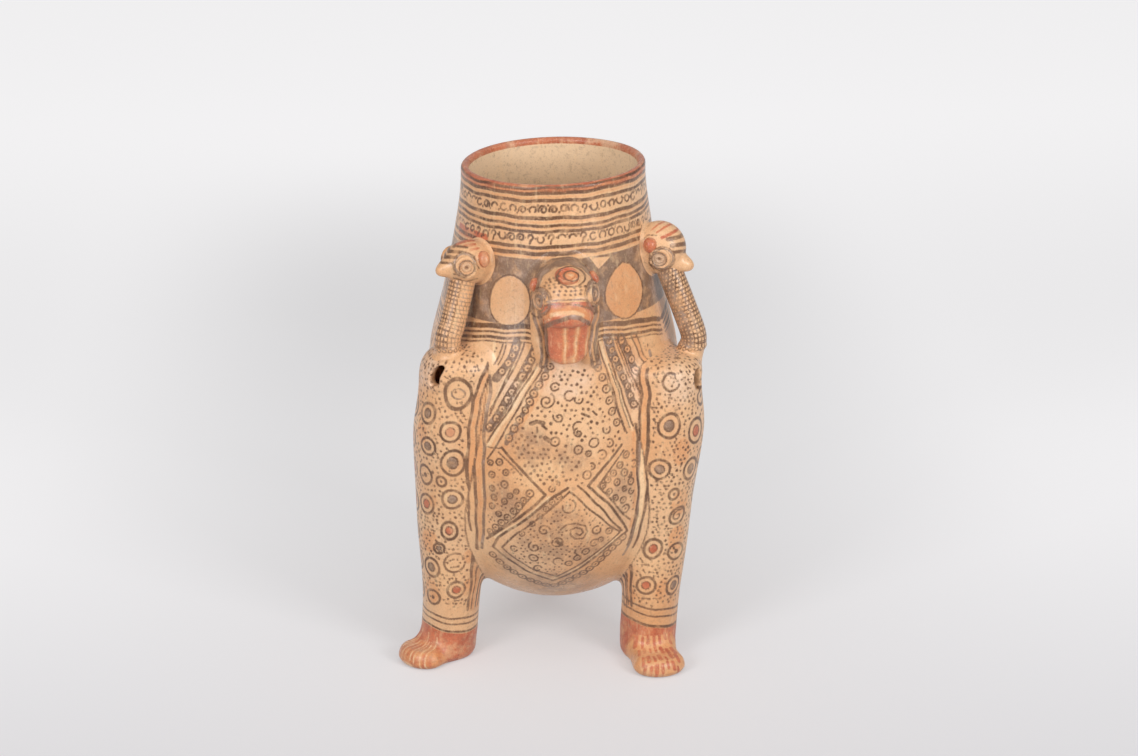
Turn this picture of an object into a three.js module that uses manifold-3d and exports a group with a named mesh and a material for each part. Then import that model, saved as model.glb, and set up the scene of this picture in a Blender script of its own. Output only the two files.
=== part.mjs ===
// A zoomorphic tripod jar in painted, burnished earthenware, standing on three hollow legs.
// Its front faces -Y and +Z is up. A feline head looks out of the collar between two long-necked
// birds, which stand on the front legs and lean their heads against the wall. Loose clay pellets
// rattle inside the legs. Heights are above the ground, turns are degrees to the right of the front.

import * as THREE from 'three';
import { mergeVertices } from 'three/addons/utils/BufferGeometryUtils.js';
import { ConvexGeometry } from 'three/addons/geometries/ConvexGeometry.js';
import Module from 'manifold-3d';

// Driving dimensions of the jar, in millimetres and degrees.
const RIM_HEIGHT = 325;
const RIM_RADIUS = 58.4;
const RIM_LIP_DEPTH = 5;
const RIM_WALL = 4.8;
const RIM_TILT = 1.7;
const THROAT_RADIUS = 62.2;
const THROAT_DROP = 39;
const NECK_RADIUS = 69.6;
const NECK_DROP = 79;
const SHOULDER_RADIUS = 79.3;
const SHOULDER_DROP = 120;
const BELLY_RADIUS = 87;
const BELLY_HEIGHT = 122;
const BELLY_CLEARANCE = 33;
const BOWL_DEPTH = 40;
const BODY_WALL = 6;

// Driving dimensions of the legs and feet. A leg is widest at the thigh and closes in a dome.
const ANKLE_HEIGHT = 20;
const ANKLE_RADIUS = 18.2;
const CALF_RADIUS = 20.4;
const CALF_RISE = 45;
const THIGH_RADIUS = 28;
const THIGH_RISE = 140;
const HIP_RADIUS = 25.4;
const HIP_DROP = 8;
const LEG_WALL = 5.5;
const DOME_BLUNTNESS = 2 / 3;
const HEEL_RADIUS = 14.5;
const FOOT_HALF_WIDTH = 17;
const TOE_HALF_LENGTH = 13;
const TOE_HEIGHT = 9;
const SOLE_ROUNDING = 2.5;
const TOE_ROUNDING = 4;
const INSTEP_HALF_WIDTH = 12;
const INSTEP_HALF_LENGTH = 8;
const VENT_WIDTH = 7;
const VENT_HEIGHT = 13.5;
const VENT_DROP = 14;

// Each hip lies below the shoulder. Being handmade, no two legs are quite alike.
const LEFT_LEG = {
  name: 'left', hipTurn: -52.7, hipSink: 2.5, domeRise: 23, ankleTurn: -66, ankleInset: 10.4,
  footTurn: -49, footLength: 37, ventTurn: -37,
};
const RIGHT_LEG = {
  name: 'right', hipTurn: 56.5, hipSink: 0.8, domeRise: 14, ankleTurn: 57.2, ankleInset: 15.6,
  footTurn: 10, footLength: 43, ventTurn: 64,
};
const REAR_LEG = {
  name: 'rear', hipTurn: 180, hipSink: 2.5, domeRise: 18, ankleTurn: 180, ankleInset: 15,
  footTurn: 180, footLength: 24, ventTurn: 180,
};

// Rattle pellets, two side by side in each leg.
const PELLET_RADIUS = 4.2;
const PELLET_SPACING = 9.6;
const PELLET_CLEARANCE = 0.8;
const PELLET_TRAVEL = 52;

// The feline head, measured from its own centre in front of the wall. Its brow is a little askew.
const FELINE_TURN = 2.5;
const FELINE_DROP = 64;
const FELINE_STANDOFF = 7;
const BROW_ROLL = 6;
const SKULL_HALF = { width: 20, depth: 23, height: 20 };
const MUZZLE_HALF = { width: 16, depth: 13, height: 9 };
const MUZZLE_REACH = 15;
const MUZZLE_DROP = 8;
const JAW_WIDTH = 26;
const JAW_LENGTH = 34.5;
const JAW_REACH = 22;
const JAW_TILT = 9;
const JAW_CORNER = 11;
const JAW_ROUNDING = 3;
const FELINE_EYE_HALF = { width: 6, height: 7.5 };
const FELINE_EYE_TURN = 50;
const FELINE_EYE_RISE = 4;
const FELINE_EAR_RADIUS = 5;
const FELINE_EAR_TURN = 84;
const FELINE_EAR_RISE = 28;
const BOSS_HALF = { width: 8, height: 6 };
const BOSS_TURN = 6;
const BOSS_RISE = 46;

// The birds, measured from the centre of each head. Each looks along its facing.
const LEFT_BIRD = {
  name: 'left', turn: -50.5, facing: -66, headRise: 53, halfHeight: 14, neckBow: 14.5,
  beakDrop: 2, eyeTurn: 61, eyeRise: 4, knobTurn: 111,
};
const RIGHT_BIRD = {
  name: 'right', turn: 67, facing: 70, headRise: 64, halfHeight: 17, neckBow: 16.5,
  beakDrop: 9.4, eyeTurn: 77, eyeRise: -14, knobTurn: 105,
};
const BIRD_HEAD_HALF = { width: 13.5, depth: 16.5 };
const BIRD_HEAD_STANDOFF = 7.5;
const BIRD_NECK_RADIUS = 8.2;
const BIRD_NECK_ROOT = 12;
const BEAK_HALF = { width: 6, depth: 8, height: 5.5 };
const BEAK_REACH = 13;
const KNOB_RISE = 19;
const BIRD_EYE_RADIUS = 5.4;
const BIRD_KNOB_RADIUS = 4.6;
const BUTTON_THICKNESS = 2.2;

// Luted joints are drawn with this gap between the two solids.
const SEAM = 0.3;

// Facets around the jar, a leg and a small piece.
const AROUND_JAR = 40;
const AROUND_LEG = 22;
const AROUND_SMALL = 12;

const OUTWARD = new THREE.Vector3(0, -1, 0);
const radians = THREE.MathUtils.degToRad;

const CREAM_SLIP = { color: 0xd9a673, roughness: 0.48, metalness: 0 };
const RED_SLIP = { color: 0xb8583a, roughness: 0.5, metalness: 0 };
const GREY_SLIP = { color: 0x7d6455, roughness: 0.45, metalness: 0 };
const BARE_CLAY = { color: 0xa9795a, roughness: 0.85, metalness: 0 };

const wasm = await Module();
wasm.setup();

const vessel = new THREE.Group();

// Turns a closed three.js geometry into a solid that can be joined and cut.
function solidFrom(geometry) {
  const bare = geometry.clone();
  bare.deleteAttribute('normal');
  bare.deleteAttribute('uv');
  const merged = mergeVertices(bare, 1e-4);
  return new wasm.Manifold(new wasm.Mesh({
    numProp: 3,
    vertProperties: new Float32Array(merged.attributes.position.array),
    triVerts: new Uint32Array(merged.index.array),
  }));
}

function addPiece(name, solid, finish) {
  const { vertProperties, triVerts } = solid.getMesh();
  const geometry = new THREE.BufferGeometry();
  geometry.setAttribute('position', new THREE.BufferAttribute(Float32Array.from(vertProperties), 3));
  geometry.setIndex(new THREE.BufferAttribute(Uint32Array.from(triVerts), 1));
  geometry.computeVertexNormals();
  const piece = new THREE.Mesh(geometry, new THREE.MeshStandardMaterial(finish));
  piece.name = name;
  vessel.add(piece);
}

function cut(solid, ...tools) {
  return tools.reduce((rest, tool) => rest.subtract(tool), solid);
}

// A curve through [height, radius] pairs, read as the radius at a height.
function radiusThrough(points, height) {
  const last = points.length - 1;
  if (height <= points[0][0]) return points[0][1];
  if (height >= points[last][0]) return points[last][1];
  const i = points.findIndex((point, n) => n < last && height <= points[n + 1][0]);
  const slope = (a, b) => (points[b][1] - points[a][1]) / (points[b][0] - points[a][0]);
  const before = i > 0 ? slope(i - 1, i + 1) : 0;
  const after = i + 1 < last ? slope(i, i + 2) : 0;
  const span = points[i + 1][0] - points[i][0];
  const t = (height - points[i][0]) / span;
  return (2 * t ** 3 - 3 * t ** 2 + 1) * points[i][1] + (t ** 3 - 2 * t ** 2 + t) * span * before
    + (3 * t ** 2 - 2 * t ** 3) * points[i + 1][1] + (t ** 3 - t ** 2) * span * after;
}

// The jar's outer radius: a rounded underside up to the widest point, then a pear's long shoulder.
function jarRadius(height) {
  if (height < BELLY_HEIGHT) {
    const fall = (BELLY_HEIGHT - height) / (BELLY_HEIGHT - BELLY_CLEARANCE);
    return BELLY_RADIUS * Math.sqrt(Math.max(0, 1 - fall * fall));
  }
  return radiusThrough([
    [BELLY_HEIGHT, BELLY_RADIUS],
    [RIM_HEIGHT - SHOULDER_DROP, SHOULDER_RADIUS],
    [RIM_HEIGHT - NECK_DROP, NECK_RADIUS],
    [RIM_HEIGHT - THROAT_DROP, THROAT_RADIUS],
    [RIM_HEIGHT - RIM_LIP_DEPTH, RIM_RADIUS],
  ], height);
}

function jarInnerRadius(height) {
  if (height < BELLY_HEIGHT) {
    const fall = (BELLY_HEIGHT - height) / (BELLY_HEIGHT - BELLY_CLEARANCE - BODY_WALL);
    return (BELLY_RADIUS - BODY_WALL) * Math.sqrt(Math.max(0, 1 - fall * fall));
  }
  const lipFoot = RIM_HEIGHT - RIM_LIP_DEPTH;
  const thinning = THREE.MathUtils.smoothstep(height, RIM_HEIGHT - SHOULDER_DROP, lipFoot);
  return jarRadius(height) - THREE.MathUtils.lerp(BODY_WALL, RIM_WALL, thinning);
}

// Points of a wall between two heights. Below the widest point they follow the rounded underside.
function wallPoints(radiusAt, from, to, steps) {
  const points = [];
  for (let i = 0; i <= steps; i += 1) {
    const height = THREE.MathUtils.lerp(from, to, i / steps);
    points.push(new THREE.Vector2(radiusAt(height), height));
  }
  return points;
}

function undersidePoints(radius, bottom, to, steps) {
  const rise = BELLY_HEIGHT - bottom;
  const end = Math.acos((BELLY_HEIGHT - to) / rise);
  const points = [];
  for (let i = 0; i <= steps; i += 1) {
    const angle = (end * i) / steps;
    points.push(new THREE.Vector2(radius * Math.sin(angle), BELLY_HEIGHT - rise * Math.cos(angle)));
  }
  points[0].x = 0;
  return points;
}

// The mouth sits a little higher on the right, and the collar follows it.
function tiltTowardsRim(geometry) {
  const place = geometry.attributes.position;
  const foot = RIM_HEIGHT - SHOULDER_DROP;
  for (let i = 0; i < place.count; i += 1) {
    const share = THREE.MathUtils.clamp((place.getZ(i) - foot) / SHOULDER_DROP, 0, 1);
    place.setZ(i, place.getZ(i) + place.getX(i) * Math.tan(radians(RIM_TILT)) * share);
  }
  return geometry;
}

function revolve(points, around) {
  return new THREE.LatheGeometry(points, around).rotateX(Math.PI / 2);
}

const bowlTop = BELLY_CLEARANCE + BOWL_DEPTH;
const shoulderSeam = RIM_HEIGHT - SHOULDER_DROP;
const lipSeam = RIM_HEIGHT - RIM_LIP_DEPTH;

function jarRing(from, to, steps) {
  const outer = wallPoints(jarRadius, from, to, steps);
  const inner = wallPoints(jarInnerRadius, to, from, steps);
  return solidFrom(tiltTowardsRim(revolve([...outer, ...inner, outer[0].clone()], AROUND_JAR)));
}

function baseBowl() {
  const outer = undersidePoints(BELLY_RADIUS, BELLY_CLEARANCE, bowlTop - SEAM, 6);
  const inner = undersidePoints(BELLY_RADIUS - BODY_WALL, BELLY_CLEARANCE + BODY_WALL, bowlTop - SEAM, 5);
  return solidFrom(revolve([...outer, ...inner.reverse()], AROUND_JAR));
}

function rimLip() {
  const outer = RIM_RADIUS;
  const inner = jarInnerRadius(lipSeam);
  const middle = (outer + inner) / 2;
  const half = (outer - inner) / 2;
  const roll = RIM_HEIGHT - half;
  const points = [new THREE.Vector2(outer, lipSeam)];
  for (let i = 0; i <= 6; i += 1) {
    const angle = (Math.PI * i) / 6;
    points.push(new THREE.Vector2(middle + half * Math.cos(angle), roll + half * Math.sin(angle)));
  }
  points.push(new THREE.Vector2(inner, lipSeam), points[0].clone());
  return solidFrom(tiltTowardsRim(revolve(points, AROUND_JAR)));
}

// The space that the jar fills, walls and hollow together, for seating the other pieces on it.
function jarBulk(grow) {
  const under = undersidePoints(BELLY_RADIUS + grow, BELLY_CLEARANCE - grow, BELLY_HEIGHT, 12);
  const wall = wallPoints((height) => jarRadius(height) + grow, BELLY_HEIGHT, lipSeam, 14).slice(1);
  const top = new THREE.Vector2(0, lipSeam);
  return solidFrom(tiltTowardsRim(revolve([...under, ...wall, top], AROUND_JAR)));
}

function placeAt(turn, radius, height) {
  const along = new THREE.Matrix4().makeTranslation(0, -radius, height);
  return new THREE.Matrix4().makeRotationZ(radians(turn)).multiply(along);
}

function pointAt(turn, radius, height) {
  return new THREE.Vector3(0, 0, 0).applyMatrix4(placeAt(turn, radius, height));
}

function ellipsoid(half, grow, matrix) {
  const ball = new THREE.SphereGeometry(1, AROUND_SMALL, AROUND_SMALL * 0.75);
  ball.rotateX(Math.PI / 2);
  ball.scale(half.width + grow, half.depth + grow, half.height + grow);
  return solidFrom(ball.applyMatrix4(matrix));
}

function knob(radius, matrix) {
  return ellipsoid({ width: radius, depth: radius, height: radius }, 0, matrix);
}

// Legs
const hipHeight = shoulderSeam - HIP_DROP;
const legTop = (leg) => hipHeight + leg.domeRise;

function legRadius(height) {
  return radiusThrough([
    [ANKLE_HEIGHT, ANKLE_RADIUS],
    [ANKLE_HEIGHT + CALF_RISE, CALF_RADIUS],
    [ANKLE_HEIGHT + THIGH_RISE, THIGH_RADIUS],
    [hipHeight, HIP_RADIUS],
  ], height);
}

function ankleCentre(leg) {
  return pointAt(leg.ankleTurn, BELLY_RADIUS - leg.ankleInset, ANKLE_HEIGHT);
}

function legCentre(leg, height) {
  const hip = pointAt(leg.hipTurn, jarRadius(hipHeight) - leg.hipSink, hipHeight);
  return ankleCentre(leg).lerp(hip, (height - ANKLE_HEIGHT) / (hipHeight - ANKLE_HEIGHT));
}

// A leg-shaped solid of revolution, sheared so that its axis runs from the ankle to the hip. Its
// top is a blunt dome.
function legForm(leg, from, top, grow) {
  const points = [new THREE.Vector2(0, from)];
  points.push(...wallPoints((height) => legRadius(height) + grow, from, hipHeight, 8));
  for (let i = 1; i <= 4; i += 1) {
    const angle = (Math.PI / 8) * i;
    const across = Math.max(0, Math.cos(angle)) ** DOME_BLUNTNESS;
    const up = Math.sin(angle) ** DOME_BLUNTNESS;
    points.push(new THREE.Vector2((HIP_RADIUS + grow) * across, hipHeight + (top - hipHeight) * up));
  }
  points[points.length - 1].x = 0;
  const geometry = revolve(points, AROUND_LEG);
  const foot = legCentre(leg, 0);
  const lean = legCentre(leg, 1).sub(foot);
  geometry.applyMatrix4(new THREE.Matrix4().makeShear(0, 0, 0, 0, lean.x, lean.y));
  geometry.translate(foot.x, foot.y, 0);
  return solidFrom(geometry);
}

function ventSlot(leg) {
  const height = legTop(leg) - VENT_DROP;
  const slot = new THREE.CapsuleGeometry(VENT_WIDTH / 2, VENT_HEIGHT - VENT_WIDTH, 4, 12);
  slot.rotateX(Math.PI / 2);
  slot.scale(1, (2 * THIGH_RADIUS) / VENT_WIDTH, 1);
  slot.translate(0, -THIGH_RADIUS, 0);
  slot.rotateZ(radians(leg.ventTurn));
  const centre = legCentre(leg, height);
  slot.translate(centre.x, centre.y, height);
  return solidFrom(slot);
}

function hollowLeg(leg) {
  const shell = legForm(leg, ANKLE_HEIGHT, legTop(leg), 0);
  const cavity = legForm(leg, ANKLE_HEIGHT + LEG_WALL, legTop(leg) - LEG_WALL, -LEG_WALL);
  return cut(shell, cavity, ventSlot(leg), jarBulk(SEAM));
}

function foot(leg) {
  const centre = ankleCentre(leg);
  const toeCentre = leg.footLength - TOE_HALF_LENGTH;
  const points = [];
  const ring = (reach, halfWidth, halfLength, height) => {
    for (let i = 0; i < AROUND_LEG; i += 1) {
      const angle = (2 * Math.PI * i) / AROUND_LEG;
      const across = halfWidth * Math.cos(angle);
      points.push(new THREE.Vector3(across, -reach - halfLength * Math.sin(angle), height));
    }
  };
  ring(0, HEEL_RADIUS - SOLE_ROUNDING, HEEL_RADIUS - SOLE_ROUNDING, 0);
  ring(0, HEEL_RADIUS, HEEL_RADIUS, SOLE_ROUNDING);
  ring(0, ANKLE_RADIUS, ANKLE_RADIUS, ANKLE_HEIGHT - SEAM);
  ring(toeCentre, FOOT_HALF_WIDTH - SOLE_ROUNDING, TOE_HALF_LENGTH - SOLE_ROUNDING, 0);
  ring(toeCentre, FOOT_HALF_WIDTH, TOE_HALF_LENGTH, TOE_ROUNDING);
  ring(toeCentre, INSTEP_HALF_WIDTH, INSTEP_HALF_LENGTH, TOE_HEIGHT);
  const geometry = new ConvexGeometry(points);
  geometry.rotateZ(radians(leg.footTurn));
  geometry.translate(centre.x, centre.y, 0);
  return solidFrom(geometry);
}

// The straight lane that a leg's pellets slide along, leaning out past the belly's bulge.
function pelletLane(leg) {
  const floor = ANKLE_HEIGHT + LEG_WALL + PELLET_RADIUS + SEAM;
  const start = legCentre(leg, floor);
  const top = floor + PELLET_TRAVEL;
  const end = legCentre(leg, top);
  const reach = Math.hypot(end.x, end.y);
  const clear = jarRadius(top) + PELLET_RADIUS + PELLET_CLEARANCE;
  end.x *= Math.max(1, clear / reach);
  end.y *= Math.max(1, clear / reach);
  const side = new THREE.Vector3(-start.y, start.x, 0).normalize().multiplyScalar(PELLET_SPACING / 2);
  return { start, end, side };
}

function pellet(lane, sign) {
  const ball = new THREE.SphereGeometry(PELLET_RADIUS, 8, 6);
  const place = lane.start.clone().addScaledVector(lane.side, sign);
  return solidFrom(ball.translate(place.x, place.y, place.z));
}

// A button: a coil of clay round a raised middle, pressed onto a head. Its profile is in shares of
// its radius and its thickness, from its root in the head outward, and it faces -Y before placing.
function button(half, thickness, matrix) {
  const root = -3;
  const coil = [[1, root], [1, 0.35], [0.86, 0.85], [0.66, 0.75]];
  const pupil = [[0.5, 0.35], [0.36, 0.9], [0, 1.2]];
  const profile = [[0, root], ...coil, ...pupil];
  const points = profile.map(([radius, height]) => new THREE.Vector2(radius, height * thickness));
  const geometry = new THREE.LatheGeometry(points, AROUND_SMALL);
  geometry.scale(half.width, 1, half.height);
  geometry.rotateZ(Math.PI);
  return solidFrom(geometry.applyMatrix4(matrix));
}

// A matrix that sets a button on an ellipsoid where a ray at this turn and rise leaves it.
function onEllipsoid(half, turn, rise) {
  const radii = new THREE.Vector3(half.width, half.depth, half.height);
  const ray = OUTWARD.clone().applyEuler(new THREE.Euler(-radians(rise), 0, radians(turn), 'ZYX'));
  const place = ray.multiplyScalar(1 / ray.clone().divide(radii).length());
  const normal = place.clone().divide(radii).divide(radii).normalize();
  const facing = new THREE.Quaternion().setFromUnitVectors(OUTWARD, normal);
  return new THREE.Matrix4().compose(place, facing, new THREE.Vector3(1, 1, 1));
}

// The jar itself, in the order a potter builds it
addPiece('base_bowl', baseBowl(), CREAM_SLIP);
addPiece('belly_wall', jarRing(bowlTop, shoulderSeam - SEAM, 7), CREAM_SLIP);
addPiece('collar_wall', jarRing(shoulderSeam, lipSeam - SEAM, 7), CREAM_SLIP);
addPiece('rim_lip', rimLip(), RED_SLIP);

// Legs, feet and pellets
for (const leg of [LEFT_LEG, RIGHT_LEG, REAR_LEG]) {
  addPiece(`${leg.name}_leg`, hollowLeg(leg), CREAM_SLIP);
  addPiece(`${leg.name}_foot`, foot(leg), RED_SLIP);
  const lane = pelletLane(leg);
  addPiece(`${leg.name}_pellet_a`, pellet(lane, -1), BARE_CLAY);
  addPiece(`${leg.name}_pellet_b`, pellet(lane, 1), BARE_CLAY);
}

// The feline head
const felineHeight = RIM_HEIGHT - FELINE_DROP;
const felinePlace = placeAt(FELINE_TURN, jarRadius(felineHeight) + FELINE_STANDOFF, felineHeight);
const onFeline = (matrix) => felinePlace.clone().multiply(matrix);
const muzzlePlace = onFeline(new THREE.Matrix4().makeTranslation(0, -MUZZLE_REACH, -MUZZLE_DROP));
const skull = (grow) => ellipsoid(SKULL_HALF, grow, felinePlace);
const muzzle = (grow) => ellipsoid(MUZZLE_HALF, grow, muzzlePlace);

// The open lower jaw: a rounded slab that hangs below the muzzle and reaches back to the wall.
function jaw() {
  const half = JAW_WIDTH / 2;
  const outline = new THREE.Shape();
  outline.moveTo(-half, 0);
  outline.lineTo(-half, JAW_CORNER - JAW_LENGTH);
  outline.quadraticCurveTo(-half, -JAW_LENGTH, 0, -JAW_LENGTH);
  outline.quadraticCurveTo(half, -JAW_LENGTH, half, JAW_CORNER - JAW_LENGTH);
  outline.lineTo(half, 0);
  const slab = new THREE.ExtrudeGeometry(outline, {
    depth: JAW_REACH + FELINE_STANDOFF,
    bevelThickness: JAW_ROUNDING,
    bevelSize: JAW_ROUNDING,
    bevelOffset: -JAW_ROUNDING,
    bevelSegments: 2,
    curveSegments: 5,
  });
  slab.rotateX(Math.PI / 2);
  slab.rotateZ(Math.PI);
  slab.translate(0, JAW_ROUNDING, 0);
  slab.rotateX(radians(JAW_TILT));
  slab.translate(0, -JAW_REACH, -MUZZLE_DROP);
  return solidFrom(slab.applyMatrix4(felinePlace));
}

addPiece('feline_head', cut(skull(0), jarBulk(SEAM)), CREAM_SLIP);
addPiece('feline_muzzle', cut(muzzle(0), skull(SEAM), jarBulk(SEAM)), RED_SLIP);
addPiece('feline_jaw', cut(jaw(), muzzle(SEAM), skull(SEAM), jarBulk(SEAM)), RED_SLIP);
const browRoll = new THREE.Matrix4().makeRotationY(radians(-BROW_ROLL));
const onBrow = (turn, rise) => onFeline(browRoll.clone().multiply(onEllipsoid(SKULL_HALF, turn, rise)));
const boss = button(BOSS_HALF, BUTTON_THICKNESS, onBrow(BOSS_TURN, BOSS_RISE));
addPiece('forehead_boss', cut(boss, skull(SEAM)), RED_SLIP);

for (const [side, sign] of [['left', -1], ['right', 1]]) {
  const eyePlace = onBrow(sign * FELINE_EYE_TURN, FELINE_EYE_RISE);
  const eye = button(FELINE_EYE_HALF, BUTTON_THICKNESS, eyePlace);
  addPiece(`feline_${side}_eye`, cut(eye, skull(SEAM), muzzle(SEAM), jaw()), GREY_SLIP);
  const ear = knob(FELINE_EAR_RADIUS, onBrow(sign * FELINE_EAR_TURN, FELINE_EAR_RISE));
  addPiece(`feline_${side}_ear`, cut(ear, skull(SEAM), eye, jarBulk(SEAM)), RED_SLIP);
}

// The birds
for (const [bird, leg] of [[LEFT_BIRD, LEFT_LEG], [RIGHT_BIRD, RIGHT_LEG]]) {
  const neckFoot = legTop(leg);
  const height = neckFoot + bird.headRise;
  const headHalf = { ...BIRD_HEAD_HALF, height: bird.halfHeight };
  const headPlace = placeAt(bird.turn, jarRadius(height) + BIRD_HEAD_STANDOFF, height);
  headPlace.multiply(new THREE.Matrix4().makeRotationZ(radians(bird.facing - bird.turn)));
  const onHead = (matrix) => headPlace.clone().multiply(matrix);
  const head = (grow) => ellipsoid(headHalf, grow, headPlace);
  const wholeLeg = legForm(leg, ANKLE_HEIGHT, neckFoot, SEAM);

  const neckPoint = (level, standoff) => pointAt(bird.turn, jarRadius(level) + standoff, level);
  const extrudePath = new THREE.CatmullRomCurve3([
    neckPoint(neckFoot - BIRD_NECK_ROOT, bird.neckBow * 0.62),
    neckPoint(neckFoot, bird.neckBow * 0.9),
    neckPoint(neckFoot + BIRD_NECK_RADIUS, bird.neckBow),
    neckPoint(neckFoot + bird.headRise * 0.35, bird.neckBow * 0.86),
    neckPoint(height - bird.halfHeight * 0.4, BIRD_HEAD_STANDOFF + 2),
  ]);
  const section = new THREE.Shape().absarc(0, 0, BIRD_NECK_RADIUS, 0, 2 * Math.PI);
  const neck = new THREE.ExtrudeGeometry(section, { extrudePath, steps: 12, curveSegments: 7 });
  const neckForm = solidFrom(neck);
  addPiece(`${bird.name}_bird_neck`, cut(neckForm, wholeLeg, head(SEAM), jarBulk(SEAM)), CREAM_SLIP);
  addPiece(`${bird.name}_bird_head`, cut(head(0), jarBulk(SEAM)), CREAM_SLIP);

  const beakPlace = onHead(new THREE.Matrix4().makeTranslation(0, -BEAK_REACH, -bird.beakDrop));
  addPiece(`${bird.name}_beak`, cut(ellipsoid(BEAK_HALF, 0, beakPlace), head(SEAM), neckForm), CREAM_SLIP);

  for (const [side, sign] of [['front', -1], ['back', 1]]) {
    const facing = sign * Math.sign(bird.turn);
    const eyePlace = onHead(onEllipsoid(headHalf, facing * bird.eyeTurn, bird.eyeRise));
    const eye = button({ width: BIRD_EYE_RADIUS, height: BIRD_EYE_RADIUS }, BUTTON_THICKNESS, eyePlace);
    addPiece(`${bird.name}_bird_${side}_eye`, cut(eye, head(SEAM)), GREY_SLIP);
    const knobPlace = onHead(onEllipsoid(headHalf, facing * bird.knobTurn, KNOB_RISE));
    const crest = cut(knob(BIRD_KNOB_RADIUS, knobPlace), head(SEAM), eye, jarBulk(SEAM));
    addPiece(`${bird.name}_bird_${side}_knob`, crest, RED_SLIP);
  }
}

// The origin is the middle of the whole jar's footprint, on the ground.
const extent = new THREE.Box3().setFromObject(vessel);
vessel.position.set(-(extent.min.x + extent.max.x) / 2, -(extent.min.y + extent.max.y) / 2, -extent.min.z);

export default vessel;
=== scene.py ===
# %% [markdown]
# # A painted tripod jar with a feline head
#
# The jar is earthenware, built by hand from coils, dipped in a cream slip, painted with a brush and
# rubbed with a pebble until it shines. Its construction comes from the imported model: the jar's
# wall, three hollow legs, the head on the collar and two birds. This lesson gives those plain
# solids their real surface. Most pieces are modelled again as soft clay forms in the same place,
# and the painting is laid over them as strokes, so that a line can cross from one piece to another.

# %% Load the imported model
import math
from functools import partial

import bmesh
import bpy
import numpy as np
from mathutils import Matrix, Vector


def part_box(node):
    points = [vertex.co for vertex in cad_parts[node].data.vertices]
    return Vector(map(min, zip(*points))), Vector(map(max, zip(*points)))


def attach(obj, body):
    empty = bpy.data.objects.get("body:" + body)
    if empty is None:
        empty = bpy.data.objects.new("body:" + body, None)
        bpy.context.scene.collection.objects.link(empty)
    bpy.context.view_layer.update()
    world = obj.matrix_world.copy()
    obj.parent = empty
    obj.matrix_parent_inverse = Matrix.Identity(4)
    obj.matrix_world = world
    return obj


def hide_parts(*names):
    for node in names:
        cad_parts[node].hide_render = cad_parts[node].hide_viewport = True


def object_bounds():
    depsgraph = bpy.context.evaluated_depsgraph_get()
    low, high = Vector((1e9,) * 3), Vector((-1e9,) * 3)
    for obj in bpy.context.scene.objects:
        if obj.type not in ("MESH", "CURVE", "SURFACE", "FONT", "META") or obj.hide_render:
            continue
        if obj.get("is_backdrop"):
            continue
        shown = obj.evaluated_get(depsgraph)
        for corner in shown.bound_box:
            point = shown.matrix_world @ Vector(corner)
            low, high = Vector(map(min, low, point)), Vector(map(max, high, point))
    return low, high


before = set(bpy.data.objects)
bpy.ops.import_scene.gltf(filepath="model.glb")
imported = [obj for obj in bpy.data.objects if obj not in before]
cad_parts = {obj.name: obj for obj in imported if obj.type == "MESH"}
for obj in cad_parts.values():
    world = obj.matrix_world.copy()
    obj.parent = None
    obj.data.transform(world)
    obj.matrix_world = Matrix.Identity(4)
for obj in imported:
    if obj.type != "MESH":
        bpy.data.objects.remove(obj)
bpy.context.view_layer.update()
MM = 0.001
bowl_low, bowl_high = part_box("base_bowl")
AXIS = np.array([bowl_low.x + bowl_high.x, bowl_low.y + bowl_high.y, 0.0]) / 2 / MM

# %% [markdown]
# The camera comes first, because every later choice is judged through it. It looks at the jar from
# about 20 degrees above. Its distance, its height and the focal length were fitted to the mouth's
# ellipse and to the feet on the ground, with the picture taken as 1138 by 756 pixels. No shift is
# needed: a small turn to one side puts the jar where it stands in the picture.

# %% Camera
PICTURE_WIDTH = 1138
FOCAL_PIXELS = 2800
SENSOR = 36
CAMERA_DISTANCE = 1707.7
CAMERA_HEIGHT = 795.3
CAMERA_PITCH = math.radians(19.85)
CAMERA_TURN = math.radians(-3)
CAMERA_PAN = math.radians(0.335)


def place_camera():
    data = bpy.data.cameras.new("camera")
    data.sensor_width = SENSOR
    data.lens = SENSOR * FOCAL_PIXELS / PICTURE_WIDTH
    data.clip_end = 100
    camera = bpy.data.objects.new("camera", data)
    level = Matrix.Rotation(CAMERA_TURN - CAMERA_PAN, 4, "Z")
    tip = Matrix.Rotation(math.pi / 2 - CAMERA_PITCH, 4, "X")
    back = (math.sin(CAMERA_TURN) * CAMERA_DISTANCE, -math.cos(CAMERA_TURN) * CAMERA_DISTANCE)
    stand = Vector((AXIS[0] + back[0], AXIS[1] + back[1], CAMERA_HEIGHT)) * MM
    camera.matrix_world = Matrix.Translation(stand) @ level @ tip
    bpy.context.scene.collection.objects.link(camera)
    bpy.context.scene.camera = camera
    return camera


camera = place_camera()
print("camera at", [round(value, 3) for value in camera.location], "lens", round(camera.data.lens, 1))

# %% [markdown]
# Shader nodes are easier to read as sums. A `Wire` holds one value socket, and adding or
# multiplying wires adds the Math nodes. A `Finish` is a material in the making. It has one way to
# add any other node: the settings come first, then the sockets.

# %% Shader sums
class Wire:
    """One value socket of a material."""

    def __init__(self, finish, socket):
        self.finish = finish
        self.socket = socket

    def combine(self, operation, first, second):
        return self.finish.add("ShaderNodeMath", {"operation": operation}, {0: first, 1: second})

    def __add__(self, other):
        return self.combine("ADD", self, other)

    __radd__ = __add__

    def __sub__(self, other):
        return self.combine("SUBTRACT", self, other)

    def __rsub__(self, other):
        return self.combine("SUBTRACT", other, self)

    def __mul__(self, other):
        return self.combine("MULTIPLY", self, other)

    __rmul__ = __mul__


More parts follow.
